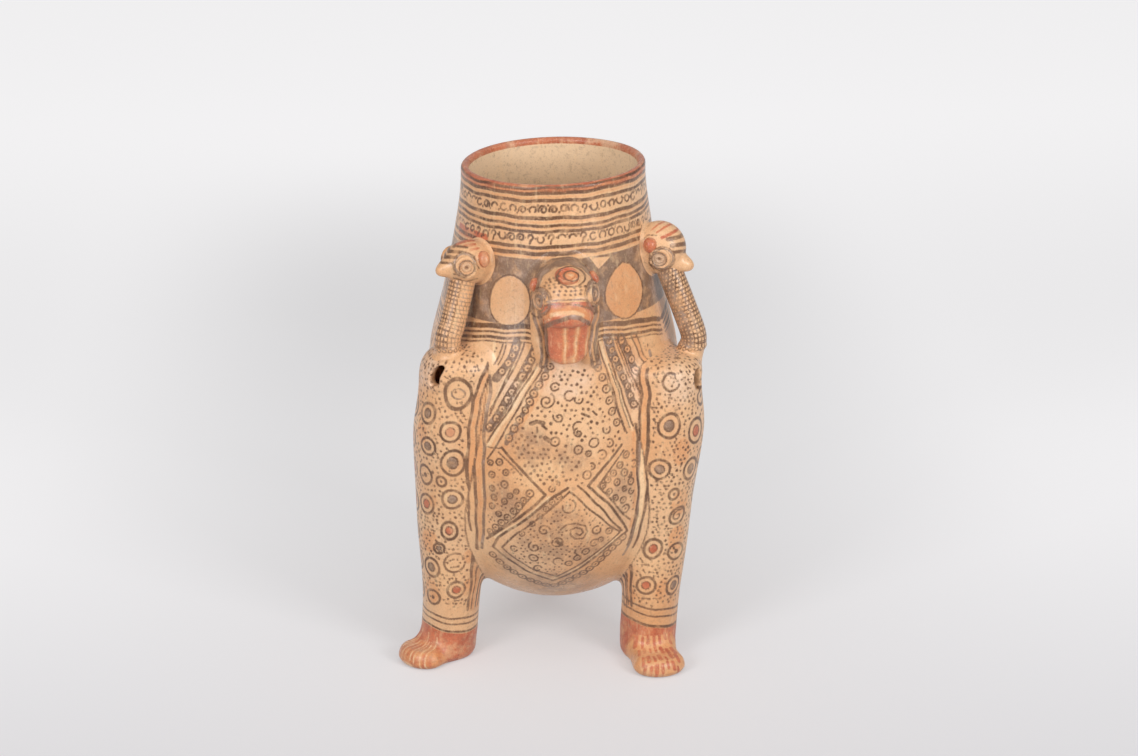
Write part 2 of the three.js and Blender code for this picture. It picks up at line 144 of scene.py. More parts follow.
class Finish:
    """A material in the making."""

    def __init__(self, name):
        self.material = bpy.data.materials.new(name)
        self.material.use_nodes = True
        self.nodes = self.material.node_tree.nodes
        self.links = self.material.node_tree.links
        self.shader = self.nodes["Principled BSDF"]

    def connect(self, socket, value):
        if isinstance(value, Wire):
            self.links.new(value.socket, socket)
        else:
            socket.default_value = value

    def add(self, kind, settings, sockets, output=0):
        """Adds a node: its settings, then its sockets by name or number, and returns one output."""
        node = self.nodes.new(kind)
        for setting, value in settings.items():
            setattr(node, setting, value)
        for socket, value in sockets.items():
            self.connect(node.inputs[socket], value)
        return Wire(self, node.outputs[output])

    def set(self, **sockets):
        """Sets the shader's sockets, named with underscores for spaces."""
        for socket, value in sockets.items():
            self.connect(self.shader.inputs[socket.replace("_", " ")], value)

    def place(self, stretch=(1, 1, 1)):
        """The place on the object in metres, each direction times its stretch."""
        place = self.add("ShaderNodeTexCoord", {}, {}, "Object")
        return self.add("ShaderNodeMapping", {}, {"Vector": place, "Scale": stretch})

    def noise(self, scale, detail=3, roughness=0.5, stretch=(1, 1, 1)):
        """Noise over the object's own place, with about `scale` lumps to the metre, from 0 to 1."""
        sockets = {"Vector": self.place(stretch), "Scale": scale, "Detail": detail,
                   "Roughness": roughness}
        return self.add("ShaderNodeTexNoise", {}, sockets, "Fac")

    def fade(self, value, low, high, start=0.0, end=1.0):
        """A soft step: `start` below `low`, `end` above `high`."""
        sockets = {"Value": value, "From Min": low, "From Max": high, "To Min": start, "To Max": end}
        return self.add("ShaderNodeMapRange", {"interpolation_type": "SMOOTHSTEP"}, sockets)

    def mix(self, share, first, second):
        """Colour `first` turning into colour `second` as share goes from 0 to 1."""
        return self.add("ShaderNodeMix", {"data_type": "RGBA"}, {0: share, 6: first, 7: second}, 2)


def srgb(red, green, blue):
    """A colour as the eye names it, 0 to 255, as the linear colour that a shader takes."""
    shares = [value / 255 for value in (red, green, blue)]
    return (*[s / 12.92 if s <= 0.04045 else ((s + 0.055) / 1.055) ** 2.4 for s in shares], 1.0)


CREAM = srgb(230, 184, 140)
print("cream slip is", [round(value, 3) for value in CREAM], "as linear light")

# %% [markdown]
# The jar stands on a pale floor that runs far back, so there is no horizon: the camera looks down
# on it everywhere. It is a lit tabletop, brighter towards the back, on which the jar leaves only
# faint shadows. So half of its brightness is a plain grey that takes the jar's shadow. The other
# half is a glow that only the camera and reflections see, which puts no light on the jar. Behind the
# jar and to both its sides the glow is dimmed into a wide, faint painted shadow, added to the jar's
# own shadow there.

# %% Floor
FLOOR_HALF = 9.0
FLOOR_GREY = srgb(192, 191, 193)
GLOW_NEAR = (0.06, 0.055, 0.06, 1.0)
GLOW_MIDDLE = (0.52, 0.515, 0.517, 1.0)
GLOW_FAR = (0.62, 0.615, 0.617, 1.0)
# The glow's colour inside the painted shadow behind the jar.
GLOW_IN_PAINTED_SHADOW = (0.05, 0.045, 0.04, 1.0)
NO_GLOW = (0, 0, 0, 1)


def floor_material():
    """The grey floor and its glow, with a painted shadow behind the jar. Y runs back from the jar and X
    to its sides, in metres.
    """
    finish = Finish("studio_floor")
    side, back = (
        finish.add("ShaderNodeSeparateXYZ", {}, {"Vector": finish.place()}, way) for way in "XY"
    )
    aside = finish.add("ShaderNodeMath", {"operation": "ABSOLUTE"}, {0: side})
    glow = finish.mix(finish.fade(back, -0.6, 0.4), GLOW_NEAR, GLOW_MIDDLE)
    glow = finish.mix(finish.fade(back, 0.6, 1.4), glow, GLOW_FAR)
    # Painted shadow: behind the jar and to its sides the glow is dimmed.
    painted_shadow = finish.fade(aside, 0.12, 0.4, 0.34, 0.0) * finish.fade(back, -0.3, 0.6)
    glow = finish.mix(painted_shadow * finish.fade(back, 0.65, 1.25, 1.0, 0.0), glow, GLOW_IN_PAINTED_SHADOW)
    rays = ("Camera", "Glossy", "Transmission")
    camera, glossy, through = (finish.add("ShaderNodeLightPath", {}, {},
                                          f"Is {ray} Ray") for ray in rays)
    seen = finish.add("ShaderNodeMath", {"operation": "MINIMUM"},
                      {0: camera + glossy + through, 1: 1.0})
    glow = finish.mix(seen, NO_GLOW, glow)
    finish.set(Base_Color=FLOOR_GREY, Roughness=0.85, Specular_IOR_Level=0.1)
    finish.set(Emission_Color=glow, Emission_Strength=1.0)
    return finish.material


def lay_floor():
    signs = ((-1, -1), (1, -1), (1, 1), (-1, 1))
    mesh = bpy.data.meshes.new("floor")
    mesh.from_pydata([(x * FLOOR_HALF, y * FLOOR_HALF, 0) for x, y in signs], [], [(0, 1, 2, 3)])
    mesh.materials.append(floor_material())
    floor = bpy.data.objects.new("floor", mesh)
    bpy.context.scene.collection.objects.link(floor)
    floor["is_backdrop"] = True


lay_floor()
print("floor", 2 * FLOOR_HALF, "m square")

# %% [markdown]
# The light is a photographer's: one soft box on each side of the camera, not far above the jar's
# mouth, a large weak one overhead and a pale room all round. The shadows in the photograph show it:
# two soft wedges run back from the feet, one to each side. The lamps give the burnished clay its
# broad milky highlights. Together they come to a plain level, at which a colour renders as written.

# %% Lamps
# The upper belly and the legs also carry painted highlights in the slip's colour.
LAMPS = {
    "soft_box_left": {"at": (-0.85, -1.05, 0.7), "size": 0.5, "watts": 7.6},
    "soft_box_right": {"at": (0.85, -1.05, 0.7), "size": 0.5, "watts": 8.2},
    "soft_box_above": {"at": (0, -0.8, 1.05), "size": 1.0, "watts": 3.0},
}
ROOM_LIGHT = 0.43
AIM = Vector((0, 0, 0.16))


def hang_lamp(name, at, size, watts):
    data = bpy.data.lights.new(name, "AREA")
    data.shape = "SQUARE"
    data.size = size
    data.energy = watts
    lamp = bpy.data.objects.new(name, data)
    lamp.location = at
    lamp.rotation_euler = (AIM - Vector(at)).to_track_quat("-Z", "Y").to_euler()
    bpy.context.scene.collection.objects.link(lamp)


for lamp_name, lamp in LAMPS.items():
    hang_lamp(lamp_name, **lamp)
world = bpy.data.worlds.new("room")
world.use_nodes = True
world.node_tree.nodes["Background"].inputs["Color"].default_value = (1, 1, 1, 1)
world.node_tree.nodes["Background"].inputs["Strength"].default_value = ROOM_LIGHT
bpy.context.scene.world = world
bpy.context.scene.view_settings.view_transform = "Standard"
print(len(LAMPS), "lamps and a room at", ROOM_LIGHT)

# %% [markdown]
# ## The jar's shape
#
# From here on lengths are in millimetres, measured from the jar's axis on the ground, with the
# front at -Y. A turn is in degrees to the right of the front. The jar is a pear of revolution: a
# rounded underside, then a smooth curve through a few radii up to the mouth. A potter's wheel
# wasn't used, so slow waves of about a third of a millimetre run over the wall, and the mouth
# stands slightly higher on the right.

# %% Jar profile
RIM_HEIGHT = 325.0
RIM_RADIUS = 58.4
RIM_WALL = 4.8
BODY_WALL = 6.0
BELLY_RADIUS = 87.0
BELLY_HEIGHT = 122.0
BELLY_CLEARANCE = 33.0
BOWL_TOP = 73.0
SHOULDER_SEAM = 205.0
LIP_SEAM = 320.0
WALL_KNOTS = [(BELLY_HEIGHT, BELLY_RADIUS), (205, 79.3), (246, 69.6), (286, 62.2),
              (LIP_SEAM, RIM_RADIUS)]
RIM_TILT = math.tan(math.radians(1.7))
TILT_RISE = 120.0


def through(knots, level):
    """A smooth curve through (level, value) knots, flat at both ends."""
    at, value = np.array(knots, float).T
    slope = np.zeros(len(at))
    slope[1:-1] = (value[2:] - value[:-2]) / (at[2:] - at[:-2])
    level = np.clip(level, at[0], at[-1])
    i = np.clip(np.searchsorted(at, level, side="right") - 1, 0, len(at) - 2)
    span = at[i + 1] - at[i]
    t = (level - at[i]) / span
    start = (2 * t**3 - 3 * t**2 + 1) * value[i] + (t**3 - 2 * t**2 + t) * span * slope[i]
    return start + (3 * t**2 - 2 * t**3) * value[i + 1] + (t**3 - t**2) * span * slope[i + 1]


def jar_radius(height, sunk=0.0):
    """The wall's radius at a height, or that of a surface `sunk` below the underside's."""
    height = np.asarray(height, float)
    fall = (BELLY_HEIGHT - height) / (BELLY_HEIGHT - BELLY_CLEARANCE - sunk)
    under = (BELLY_RADIUS - sunk) * np.sqrt(np.clip(1 - fall * fall, 0, 1))
    thinning = np.clip((height - SHOULDER_SEAM) / (LIP_SEAM - SHOULDER_SEAM), 0, 1)
    wall = np.where(sunk > 0, BODY_WALL + (RIM_WALL - BODY_WALL) * thinning, 0)
    return np.where(height < BELLY_HEIGHT, under, through(WALL_KNOTS, height) - wall)


def hand_waves(turn, height):
    """The slow waves that hands leave in a coiled wall, in millimetres."""
    around = np.radians(turn)
    slow = np.sin(2 * around + height / 47 + 0.6) + 0.7 * np.sin(3 * around - height / 31 + 2.1)
    quick = 0.45 * np.sin(7 * around + height / 13) + 0.4 * np.sin(5 * around - height / 9 + 1.3)
    return 0.17 * (slow + quick)


def tilt_lift(points):
    """How far the mouth's tilt lifts each point of the wall."""
    return points[:, 0] * RIM_TILT * np.clip((points[:, 2] - SHOULDER_SEAM) / TILT_RISE, 0, 1)


def jar_chart(points):
    """The turn, the height and the distance from the axis of each point, with the tilt undone."""
    turn = np.degrees(np.arctan2(points[:, 0], -points[:, 1]))
    return turn, points[:, 2] - tilt_lift(points), np.hypot(points[:, 0], points[:, 1])


def jar_form(points):
    """How far each point lies outside the jar's outer wall."""
    turn, height, reach = jar_chart(points)
    reach = reach - hand_waves(turn, height)
    slope = jar_radius(height + 0.5) - jar_radius(height - 0.5)
    wall = (reach - jar_radius(height)) / np.sqrt(1 + slope * slope)
    squeeze = BELLY_RADIUS / (BELLY_HEIGHT - BELLY_CLEARANCE)
    under = np.hypot(reach, (BELLY_HEIGHT - height) * squeeze) - BELLY_RADIUS
    return np.where(height < BELLY_HEIGHT, under, wall)


# %% [markdown]
# The jar's four pieces are turned rather than sculpted: a section is swept round the axis. Rows and
# columns are about 0.8 millimetres apart on the painted front, since the painting is stored on the
# mesh's corners, and columns twice that behind. The inner wall is plain and gets wide rows.
# Neighbours share the same columns and the same seam, so the outer surface runs on without a step.

# %% Turned pieces
FINE_STEP = 0.78
INNER_STEP = 6.0
FRONT_HALF = 52.0
FRONT_TURNS = np.arange(-FRONT_HALF, FRONT_HALF, 0.52)
COLUMN_TURNS = np.concatenate([FRONT_TURNS, np.arange(FRONT_HALF, 360 - FRONT_HALF, 1.0)])


def steps(start, end, step):
    """Values from start to end, both included, about `step` apart."""
    return np.linspace(start, end, max(2, int(abs(end - start) / step) + 1))


def sweep(section, turns):
    """A closed skin from (radius, height) rows. A first and last radius of 0 are poles."""
    section = np.array(section, float)
    poles = section[0, 0] < 1e-6
    rows = section[1:-1] if poles else section
    angle = np.radians(turns)
    ring = np.stack([np.sin(angle), -np.cos(angle)], 1)
    grid = rows[:, None, :1] * ring[None]
    height = np.broadcast_to(rows[:, None, 1:], (len(rows), len(turns), 1))
    points = np.concatenate([grid, height], 2).reshape(-1, 3)
    count = len(turns)
    number = np.arange(len(rows) * count).reshape(len(rows), count)
    lower = number[:-1] if poles else number
    upper = number[1:] if poles else np.roll(number, -1, axis=0)
    quads = np.stack([lower, np.roll(lower, -1, 1), np.roll(upper, -1, 1), upper], -1).reshape(-1, 4)
    faces = quads.tolist()
    if poles:
        first, last = len(points), len(points) + 1
        points = np.concatenate([points, [[0, 0, section[0, 1]], [0, 0, section[-1, 1]]]])
        faces += [[first, b, a] for a, b in zip(number[0], np.roll(number[0], -1))]
        faces += [[last, a, b] for a, b in zip(number[-1], np.roll(number[-1], -1))]
    return points, faces


def wavy(points):
    """Turned points pushed out or in by the hand waves, then tilted with the mouth."""
    turn, height, reach = jar_chart(points)
    share = np.clip(reach / 20, 0, 1)
    grown = 1 + hand_waves(turn, points[:, 2]) * share / np.maximum(reach, 1)
    points = points * np.stack([grown, grown, np.ones(len(grown))], 1)
    points[:, 2] += tilt_lift(points)
    return points


def under_rows(sunk, start, end, step):
    """Rows along the rounded underside between two angles from its lowest point, in degrees."""
    angle = np.radians(steps(start, end, step))
    drop = BELLY_HEIGHT - BELLY_CLEARANCE - sunk
    return [((BELLY_RADIUS - sunk) * math.sin(a), BELLY_HEIGHT - drop * math.cos(a)) for a in angle]


def wall_rows(sunk, start, end, step):
    return [(float(jar_radius(z, sunk)), z) for z in steps(start, end, step)]


def seam_angle(sunk):
    return math.degrees(math.acos((BELLY_HEIGHT - BOWL_TOP) / (BELLY_HEIGHT - BELLY_CLEARANCE - sunk)))


def lip_rows():
    """The rounded lip: up the outside, over in a half circle and down the inside."""
    outer, inner = RIM_RADIUS, float(jar_radius(LIP_SEAM, BODY_WALL))
    middle, half = (outer + inner) / 2, (outer - inner) / 2
    roll = np.radians(steps(0, 180, 16))
    over = [(middle + half * math.cos(a), RIM_HEIGHT - half + half * math.sin(a)) for a in roll]
    return [(outer, LIP_SEAM), (outer, LIP_SEAM + 1.3), *over, (inner, LIP_SEAM + 1.3),
            (inner, LIP_SEAM)]


def band_rows(low, high):
    """A band of the wall: up its outside and down its inside."""
    return wall_rows(0, low, high, FINE_STEP) + wall_rows(BODY_WALL, high, low, INNER_STEP)


SECTIONS = {
    "base_bowl": (
        under_rows(0, 0, seam_angle(0), 0.55) + under_rows(BODY_WALL, seam_angle(BODY_WALL), 0, 4)
    ),
    "belly_wall": band_rows(BOWL_TOP, SHOULDER_SEAM),
    "collar_wall": band_rows(SHOULDER_SEAM, LIP_SEAM),
    "rim_lip": lip_rows(),
}
print({name: len(rows) for name, rows in SECTIONS.items()}, "rows,", len(COLUMN_TURNS), "columns")

# %% [markdown]
# ## Clay forms
#
# Legs, heads and necks aren't turned. A soft form is easiest to describe as a function that says
# how far a point lies outside it. Two forms then join with a smoothed fillet, as luted clay does,
# or one is carved out of another. `model` finds the surface on a grid, puts one corner in each grid
# cell that it crosses, and then presses the corners onto the form itself.

# %% Joining and carving forms
def join(first, second, soft):
    """Two forms as one, with a fillet about as wide as `soft`."""
    share = np.clip(0.5 + 0.5 * (second - first) / soft, 0, 1)
    return second * (1 - share) + first * share - soft * share * (1 - share)


def carve(form, tool, soft=0.5):
    """A form with the tool's form cut out of it, with an edge rounded by about `soft`."""
    return -join(-form, tool, soft)


def within(form, limit, soft=0.5):
    """The part of a form that lies inside the limit."""
    return -join(-form, -limit, soft)


def ellipsoid(points, half):
    """About how far points lie outside an ellipsoid of these half sizes."""
    scaled = points / half
    size = np.linalg.norm(scaled, axis=1)
    return size * (size - 1) / np.maximum(np.linalg.norm(scaled / half, axis=1), 1e-9)


def rod(points, path, radius):
    """How far points lie outside a rod that follows a path, given as rows of x, y, z."""
    nearest = np.full(len(points), 1e9)
    for start, end in zip(path[:-1], path[1:]):
        along = end - start
        share = np.clip((points - start) @ along / (along @ along), 0, 1)
        nearest = np.minimum(nearest, np.linalg.norm(points - start - share[:, None] * along, axis=1))
    return nearest - radius


def press(form, points, rounds=4):
    """Moves points onto the form's surface, along its slope."""
    reach = 0.2
    corners = np.array([[1, 1, 1], [1, -1, -1], [-1, 1, -1], [-1, -1, 1]]) * reach
    for _ in range(rounds):
        values = [form(points + corner) for corner in corners]
        slope = sum(value[:, None] * corner for value, corner in zip(values, corners))
        slope = slope / (4 * reach * reach)
        here = sum(values) / 4
        push = here / np.maximum((slope * slope).sum(1), 0.1)
        points = points - np.clip(push, -1.5, 1.5)[:, None] * slope
    return points


def grid_values(form, axes):
    """The form's value at every grid point, worked out layer by layer."""
    values = np.empty([len(axis) for axis in axes])
    y, z = np.meshgrid(axes[1], axes[2], indexing="ij")
    for i, x in enumerate(axes[0]):
        layer = np.stack([np.full(y.size, x), y.ravel(), z.ravel()], 1)
        values[i] = form(layer).reshape(y.shape)
    return values


def model(form, low, high, cell):
    """The surface of a form as corners and four-sided faces, with cells of this size."""
    axes = [np.arange(a - cell, b + 2 * cell, cell) for a, b in zip(low, high)]
    values = grid_values(form, axes)
    inside = values < 0
    shape = np.array(inside.shape) - 1
    total = np.zeros((*shape, 3))
    count = np.zeros(shape)
    crossings = []
    for axis in range(3):
        after = np.roll(inside, -1, axis)
        crossed = inside != after
        crossed[tuple(slice(-1, None) if n == axis else slice(None) for n in range(3))] = False
        at = np.argwhere(crossed)
        at = at[((at > 0) & (at < shape)).all(1)]
        first = values[tuple(at.T)]
        step = np.eye(3, dtype=int)[axis]
        share = first / (first - values[tuple((at + step).T)])
        spot = at + step * share[:, None]
        b, c = (axis + 1) % 3, (axis + 2) % 3
        ring = []
        for back_b, back_c in ((1, 1), (0, 1), (0, 0), (1, 0)):
            cells = at.copy()
            cells[:, b] -= back_b
            cells[:, c] -= back_c
            np.add.at(total, tuple(cells.T), spot)
            np.add.at(count, tuple(cells.T), 1)
            ring.append(cells)
        crossings.append((ring, inside[tuple(at.T)]))
    used = count > 0
    number = np.full(shape, -1)
    number[used] = np.arange(used.sum())
    origin = np.array([axis[0] for axis in axes])
    points = origin + cell * total[used] / count[used][:, None]
    faces = []
    for ring, outward in crossings:
        quad = np.stack([number[tuple(cells.T)] for cells in ring], 1)
        faces.append(quad[outward])
        faces.append(quad[~outward][:, ::-1])
    return press(form, points), np.concatenate(faces).tolist()


print("form tools ready:", join(0.0, 0.0, 8.0), "mm is the depth of an 8 mm fillet")

# %% [markdown]
# A piece is added in one place: its mesh goes into metres at the jar's axis, it is parented to the
# empty of its body, and the CAD node that it stands for is hidden. Its slip is kept for the
# materials. Where a painted front needs finer corners, its faces are cut in four first and the new
# corners are pressed onto the form again.

# %% Adding pieces
def reworked(points, faces, change):
    """The points and faces of a skin after a change made with mesh operators."""
    mesh = bpy.data.meshes.new("rough")
    mesh.from_pydata(points.tolist(), [], faces)
    work = bmesh.new()
    work.from_mesh(mesh)
    work.faces.ensure_lookup_table()
    change(work)
    work.verts.index_update()
    points = np.array([vertex.co for vertex in work.verts])
    faces = [[vertex.index for vertex in face.verts] for face in work.faces]
    work.free()
    bpy.data.meshes.remove(mesh)
    return points, faces


def refine(form, points, faces, chosen):
    """Cuts the chosen faces in four and presses every corner onto the form."""
    def cut_up(work):
        edges = {edge for index in np.flatnonzero(chosen) for edge in work.faces[index].edges}
        bmesh.ops.subdivide_edges(work, edges=list(edges), cuts=1, use_grid_fill=True)

    points, faces = reworked(points, faces, cut_up)
    return press(form, points, 3), faces


def split(points, faces, level):
    """Cuts a closed skin in two at a level, and closes both halves with a flat cut face."""
    def keep_half(work, side):
        everything = [*work.verts, *work.edges, *work.faces]
        plane = {"plane_co": (0, 0, level), "plane_no": (0, 0, side)}
        cut = bmesh.ops.bisect_plane(work, geom=everything, dist=1e-4, clear_inner=True, **plane)
        rim = [part for part in cut["geom_cut"] if isinstance(part, bmesh.types.BMEdge)]
        bmesh.ops.holes_fill(work, edges=rim, sides=0)

    return [reworked(points, faces, partial(keep_half, side=side)) for side in (1, -1)]


def face_centres(points, faces):
    return np.array([points[face].mean(0) for face in faces])


def add_piece(name, points, faces, slip, nodes, body="vessel", sharp=50):
    mesh = bpy.data.meshes.new(name)
    mesh.from_pydata(((points + AXIS) * MM).tolist(), [], faces)
    mesh.validate()
    mesh.shade_smooth()
    mesh.set_sharp_from_angle(angle=math.radians(sharp))
    piece = bpy.data.objects.new(name, mesh)
    bpy.context.scene.collection.objects.link(piece)
    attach(piece, body)
    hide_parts(*nodes)
    return piece


PIECES = {}
CHARTS = {}
SLIPS = {}


def keep_piece(node, points, faces, slip, ending="skin", **options):
    """Adds a piece and remembers its corners, for the painting."""
    name = f"{node}_{ending}"
    PIECES[name] = add_piece(name, points, faces, slip, [node], **options)
    CHARTS[name] = points
    SLIPS[name] = slip
    print(f"{name}: {len(points)} corners, {len(faces)} faces")


for ring_name, section in SECTIONS.items():
    ring_points, ring_faces = sweep(section, COLUMN_TURNS)
    ring_slip = "red_slip" if ring_name == "rim_lip" else "cream_slip"
    keep_piece(ring_name, wavy(ring_points), ring_faces, ring_slip)

# %% [markdown]
# A leg is a hollow cone with a blunt domed top, leaning along a line from its ankle to its hip. The
# potter smoothed its edges out over the belly. So the leg's form is joined with the jar's, and kept
# only near the leg: its edge thins to nothing and sinks just under the jar's surface. The foot is a
# low pad that the same fillet draws up into the ankle.

# %% Legs
ANKLE_HEIGHT = 20.0
HIP_HEIGHT = 197.0
LEG_KNOTS = [(ANKLE_HEIGHT, 18.2), (65, 20.4), (160, 28.0), (HIP_HEIGHT, 25.4)]
HIP_RADIUS = 25.4
LEG_WALL = 5.5
HEEL_RADIUS = 14.5
TOE_RADIUS = 17.0
TOE_LENGTH = 13.0
SOLE_EDGE = 3.5
PAD_RISE = 8.0
DOME_POWER = 3
LEG_FILLET = 8.0
FOOT_FILLET = 9.0
FEATHER = 0.06
VENT_WIDTH = 7.0
VENT_HALF_HEIGHT = 6.75
VENT_DROP = 14.0
FAR_OUTSIDE = 50.0
LEG_FIELDS = ("hip", "ankle", "dome", "foot_turn", "foot_length", "vent_turn", "vent_lean")
LEG_SIZES = {
    "left": ((-52.7, 2.5), (-66, 10.4), 23, -49, 37, -37, 0.3),
    "right": ((56.5, 0.8), (57.2, 15.6), 14, 10, 43, 56, -0.1),
    "rear": ((180, 2.5), (180, 15), 18, 180, 24, 180, 0.0),
}
LEGS = {side: dict(zip(LEG_FIELDS, sizes)) for side, sizes in LEG_SIZES.items()}


def spot(turn, radius, height):
    angle = math.radians(turn)
    return np.array([radius * math.sin(angle), -radius * math.cos(angle), height])


def local(points, origin, turn):
    """Points seen from an origin, in directions turned with the front: across, back and up."""
    angle = math.radians(turn)
    offset = points - origin
    across = offset[:, 0] * math.cos(angle) + offset[:, 1] * math.sin(angle)
    depth = offset[:, 1] * math.cos(angle) - offset[:, 0] * math.sin(angle)
    return np.stack([across, depth, offset[:, 2]], 1)


def leg_centre(leg, height):
    """The leg's axis at each height: a straight line from the ankle to the hip."""
    hip_turn, hip_sink = leg["hip"]
    ankle_turn, ankle_inset = leg["ankle"]
    ankle = spot(ankle_turn, BELLY_RADIUS - ankle_inset, ANKLE_HEIGHT)
    hip = spot(hip_turn, float(jar_radius(HIP_HEIGHT)) - hip_sink, HIP_HEIGHT)
    share = (np.asarray(height, float) - ANKLE_HEIGHT) / (HIP_HEIGHT - ANKLE_HEIGHT)
    return ankle + (hip - ankle) * share[..., None]


def leg_chart(leg, points):
    """The angle round the leg's axis, the height and the distance from the axis."""
    offset = points - leg_centre(leg, points[:, 2])
    turn = np.degrees(np.arctan2(offset[:, 0], -offset[:, 1]))
    return turn, points[:, 2], np.hypot(offset[:, 0], offset[:, 1])


def leg_column(leg, points, sunk=0.0):
    """The leg without its foot, or its hollow if sunk by the wall's thickness."""
    turn, height, reach = leg_chart(leg, points)
    radius = through(LEG_KNOTS, height) - sunk
    heel = np.clip((ANKLE_HEIGHT - height) / ANKLE_HEIGHT, 0, 1)
    radius = radius - (LEG_KNOTS[0][1] - HEEL_RADIUS) * heel * heel
    waves = 0.35 * np.sin(np.radians(3 * turn) + height / 17)
    waves = waves + 0.25 * np.sin(np.radians(2 * turn) - height / 11)
    side = reach - radius - waves * (sunk == 0)
    across = np.clip(reach, 0, None) / (HIP_RADIUS - sunk)
    up = np.clip(height - HIP_HEIGHT, 0, None) / (leg["dome"] - sunk)
    dome = (across**DOME_POWER + up**DOME_POWER) ** (1 / DOME_POWER) - 1
    dome = dome * (leg["dome"] + HIP_RADIUS) / 2
    floor = ANKLE_HEIGHT + sunk - height if sunk else -height
    return within(np.where(height > HIP_HEIGHT, dome, side), floor, 2.0)


def foot_pad(leg, points):
    """The foot's low pad: an oval from the heel to the toes, highest at the ankle."""
    across, ahead, height = local(points, leg_centre(leg, 0.0), leg["foot_turn"]).T
    ahead = -ahead
    middle = leg["foot_length"] - TOE_LENGTH
    share = np.clip(ahead / middle, 0, 1)
    half_width = HEEL_RADIUS + (TOE_RADIUS - HEEL_RADIUS) * share
    beyond = np.where(ahead > middle, (ahead - middle) / TOE_LENGTH * half_width, np.minimum(ahead, 0))
    side = np.hypot(across, beyond) - half_width
    rounding = 7.5 - 1.5 * share
    lift = np.clip(height - SOLE_EDGE, 0, None)
    sunk = np.clip(SOLE_EDGE - height, 0, None) * 0.7
    upper = np.hypot(np.clip(side + rounding, 0, None), lift * rounding / PAD_RISE) - rounding
    return within(np.maximum(upper, side + sunk), -height, 2.0)


def vent(leg, points):
    """The slot near the leg's top, through which the hollow can be seen."""
    height = HIP_HEIGHT + leg["dome"] - VENT_DROP
    across, depth, rise = local(points, leg_centre(leg, height), leg["vent_turn"]).T
    bow = leg["vent_lean"] * rise + 0.035 * (rise * rise - 20)
    straight = VENT_HALF_HEIGHT - VENT_WIDTH / 2
    slot = np.hypot(across - bow, np.clip(np.abs(rise) - straight, 0, None)) - VENT_WIDTH / 2
    return np.where(depth < -2, slot, FAR_OUTSIDE)


def leg_outside(leg, points):
    column = leg_column(leg, points)
    slot = vent(leg, points)
    lip = 0.7 * np.exp(-(((slot - 1.6) / 1.8) ** 2))
    return within(join(column, foot_pad(leg, points), FOOT_FILLET), -points[:, 2], 1.6) - lip


def luted(form, seat, soft, bury):
    """A piece luted to its seat: filleted over it, sunk into it, and ended a little way beyond."""
    sinking = FEATHER + 0.3 * np.clip((form - 0.55 * soft) / (0.45 * soft), 0, 1)
    filleted = join(form, seat + sinking, soft)
    return np.maximum(np.maximum(filleted, -(seat + bury)), form - soft - 1)


def leg_form(leg, points):
    solid = luted(leg_outside(leg, points), jar_form(points), LEG_FILLET, 4.5)
    hollow = leg_column(leg, points, LEG_WALL)
    return carve(carve(solid, hollow, 1.0), vent(leg, points), 1.2)


LEG_CELL = 2.1
for side, leg in LEGS.items():
    line = leg_centre(leg, np.linspace(0, HIP_HEIGHT, 12))
    margin = np.array([34 + 4 * LEG_CELL, 34, 0])
    low = line.min(0) - margin - np.array([0, 0, 1])
    high = line.max(0) + margin + np.array([0, 0, leg["dome"] + 12])
    toes = leg_centre(leg, 0.0) + spot(leg["foot_turn"], leg["foot_length"] + 4, 0)
    low, high = np.minimum(low, toes), np.maximum(high, toes)
    form = partial(leg_form, leg)
    points, faces = model(form, low, high, LEG_CELL)
    centre = face_centres(points, faces)
    outer = (leg_column(leg, centre, LEG_WALL) > 2.5) & (jar_form(centre) > -0.5)
    points, faces = refine(form, points, faces, outer)
    (upper, upper_faces), (lower, lower_faces) = split(points, faces, ANKLE_HEIGHT)
    keep_piece(f"{side}_leg", upper, upper_faces, "cream_slip")
    keep_piece(f"{side}_foot", lower, lower_faces, "red_slip")

# %% [markdown]
# ## The feline's head
#
# The head is an egg of clay pressed against the collar, with a muzzle like a short wedge and a long
# hanging jaw. Each part has its own frame of directions: x to the head's left as we see it, -y out
# of the wall and z up. The skull is filleted into the wall with a wide skirt, and a low ridge runs
# down from each cheek beside the jaw.

# %% Feline head
FELINE_TURN = 2.5
FELINE_HEIGHT = 261.0
FELINE_PLACE = spot(FELINE_TURN, float(jar_radius(FELINE_HEIGHT)) + 7, FELINE_HEIGHT)
SKULL_HALF = np.array([20.0, 23.0, 20.0])
MUZZLE_HALF = np.array([16.0, 13.0, 9.0])
MUZZLE_AT = np.array([0.0, -15.0, -8.0])
JAW_AT = np.array([0.0, -22.0, -8.0])
JAW_TILT = math.radians(9)
JAW_HALF = (13.0, 17.25)
BROW_ROLL = math.radians(-6)


def skull_form(points):
    here = local(points, FELINE_PLACE, FELINE_TURN)
    skull = ellipsoid(here, SKULL_HALF)
    brow = rod(here, np.array([[-12.0, -17.5, -0.5], [0, -21.3, 0.6], [12.0, -17.5, 1.6]]), 2.6)
    skull = join(skull, brow, 4.0)
    for cheek in (-1, 1):
        ridge = np.array([[17.0 * cheek, 3.0, -16], [16.2 * cheek, 1.0, -28],
                          [13.8 * cheek, -3.5, -41]])
        skull = join(skull, rod(here, ridge, 2.4), 7.0)
    return skull


def skull_luted(points):
    return luted(skull_form(points), jar_form(points), 9.0, 4.0)


def muzzle_form(points):
    here = local(points, FELINE_PLACE, FELINE_TURN) - MUZZLE_AT
    muzzle = ellipsoid(here, MUZZLE_HALF)
    nose = ellipsoid(here - np.array([0.3, -8.5, 0.8]), np.array([4.6, 5.2, 3.6]))
    lip = rod(here, np.array([[-11.0, -6.8, -4.2], [0, -11.4, -3.2], [11.0, -6.8, -3.6]]), 2.1)
    return join(join(muzzle, nose, 4.0), lip, 3.0)


def muzzle_luted(points):
    return luted(muzzle_form(points), skull_form(points), 4.0, 3.0)


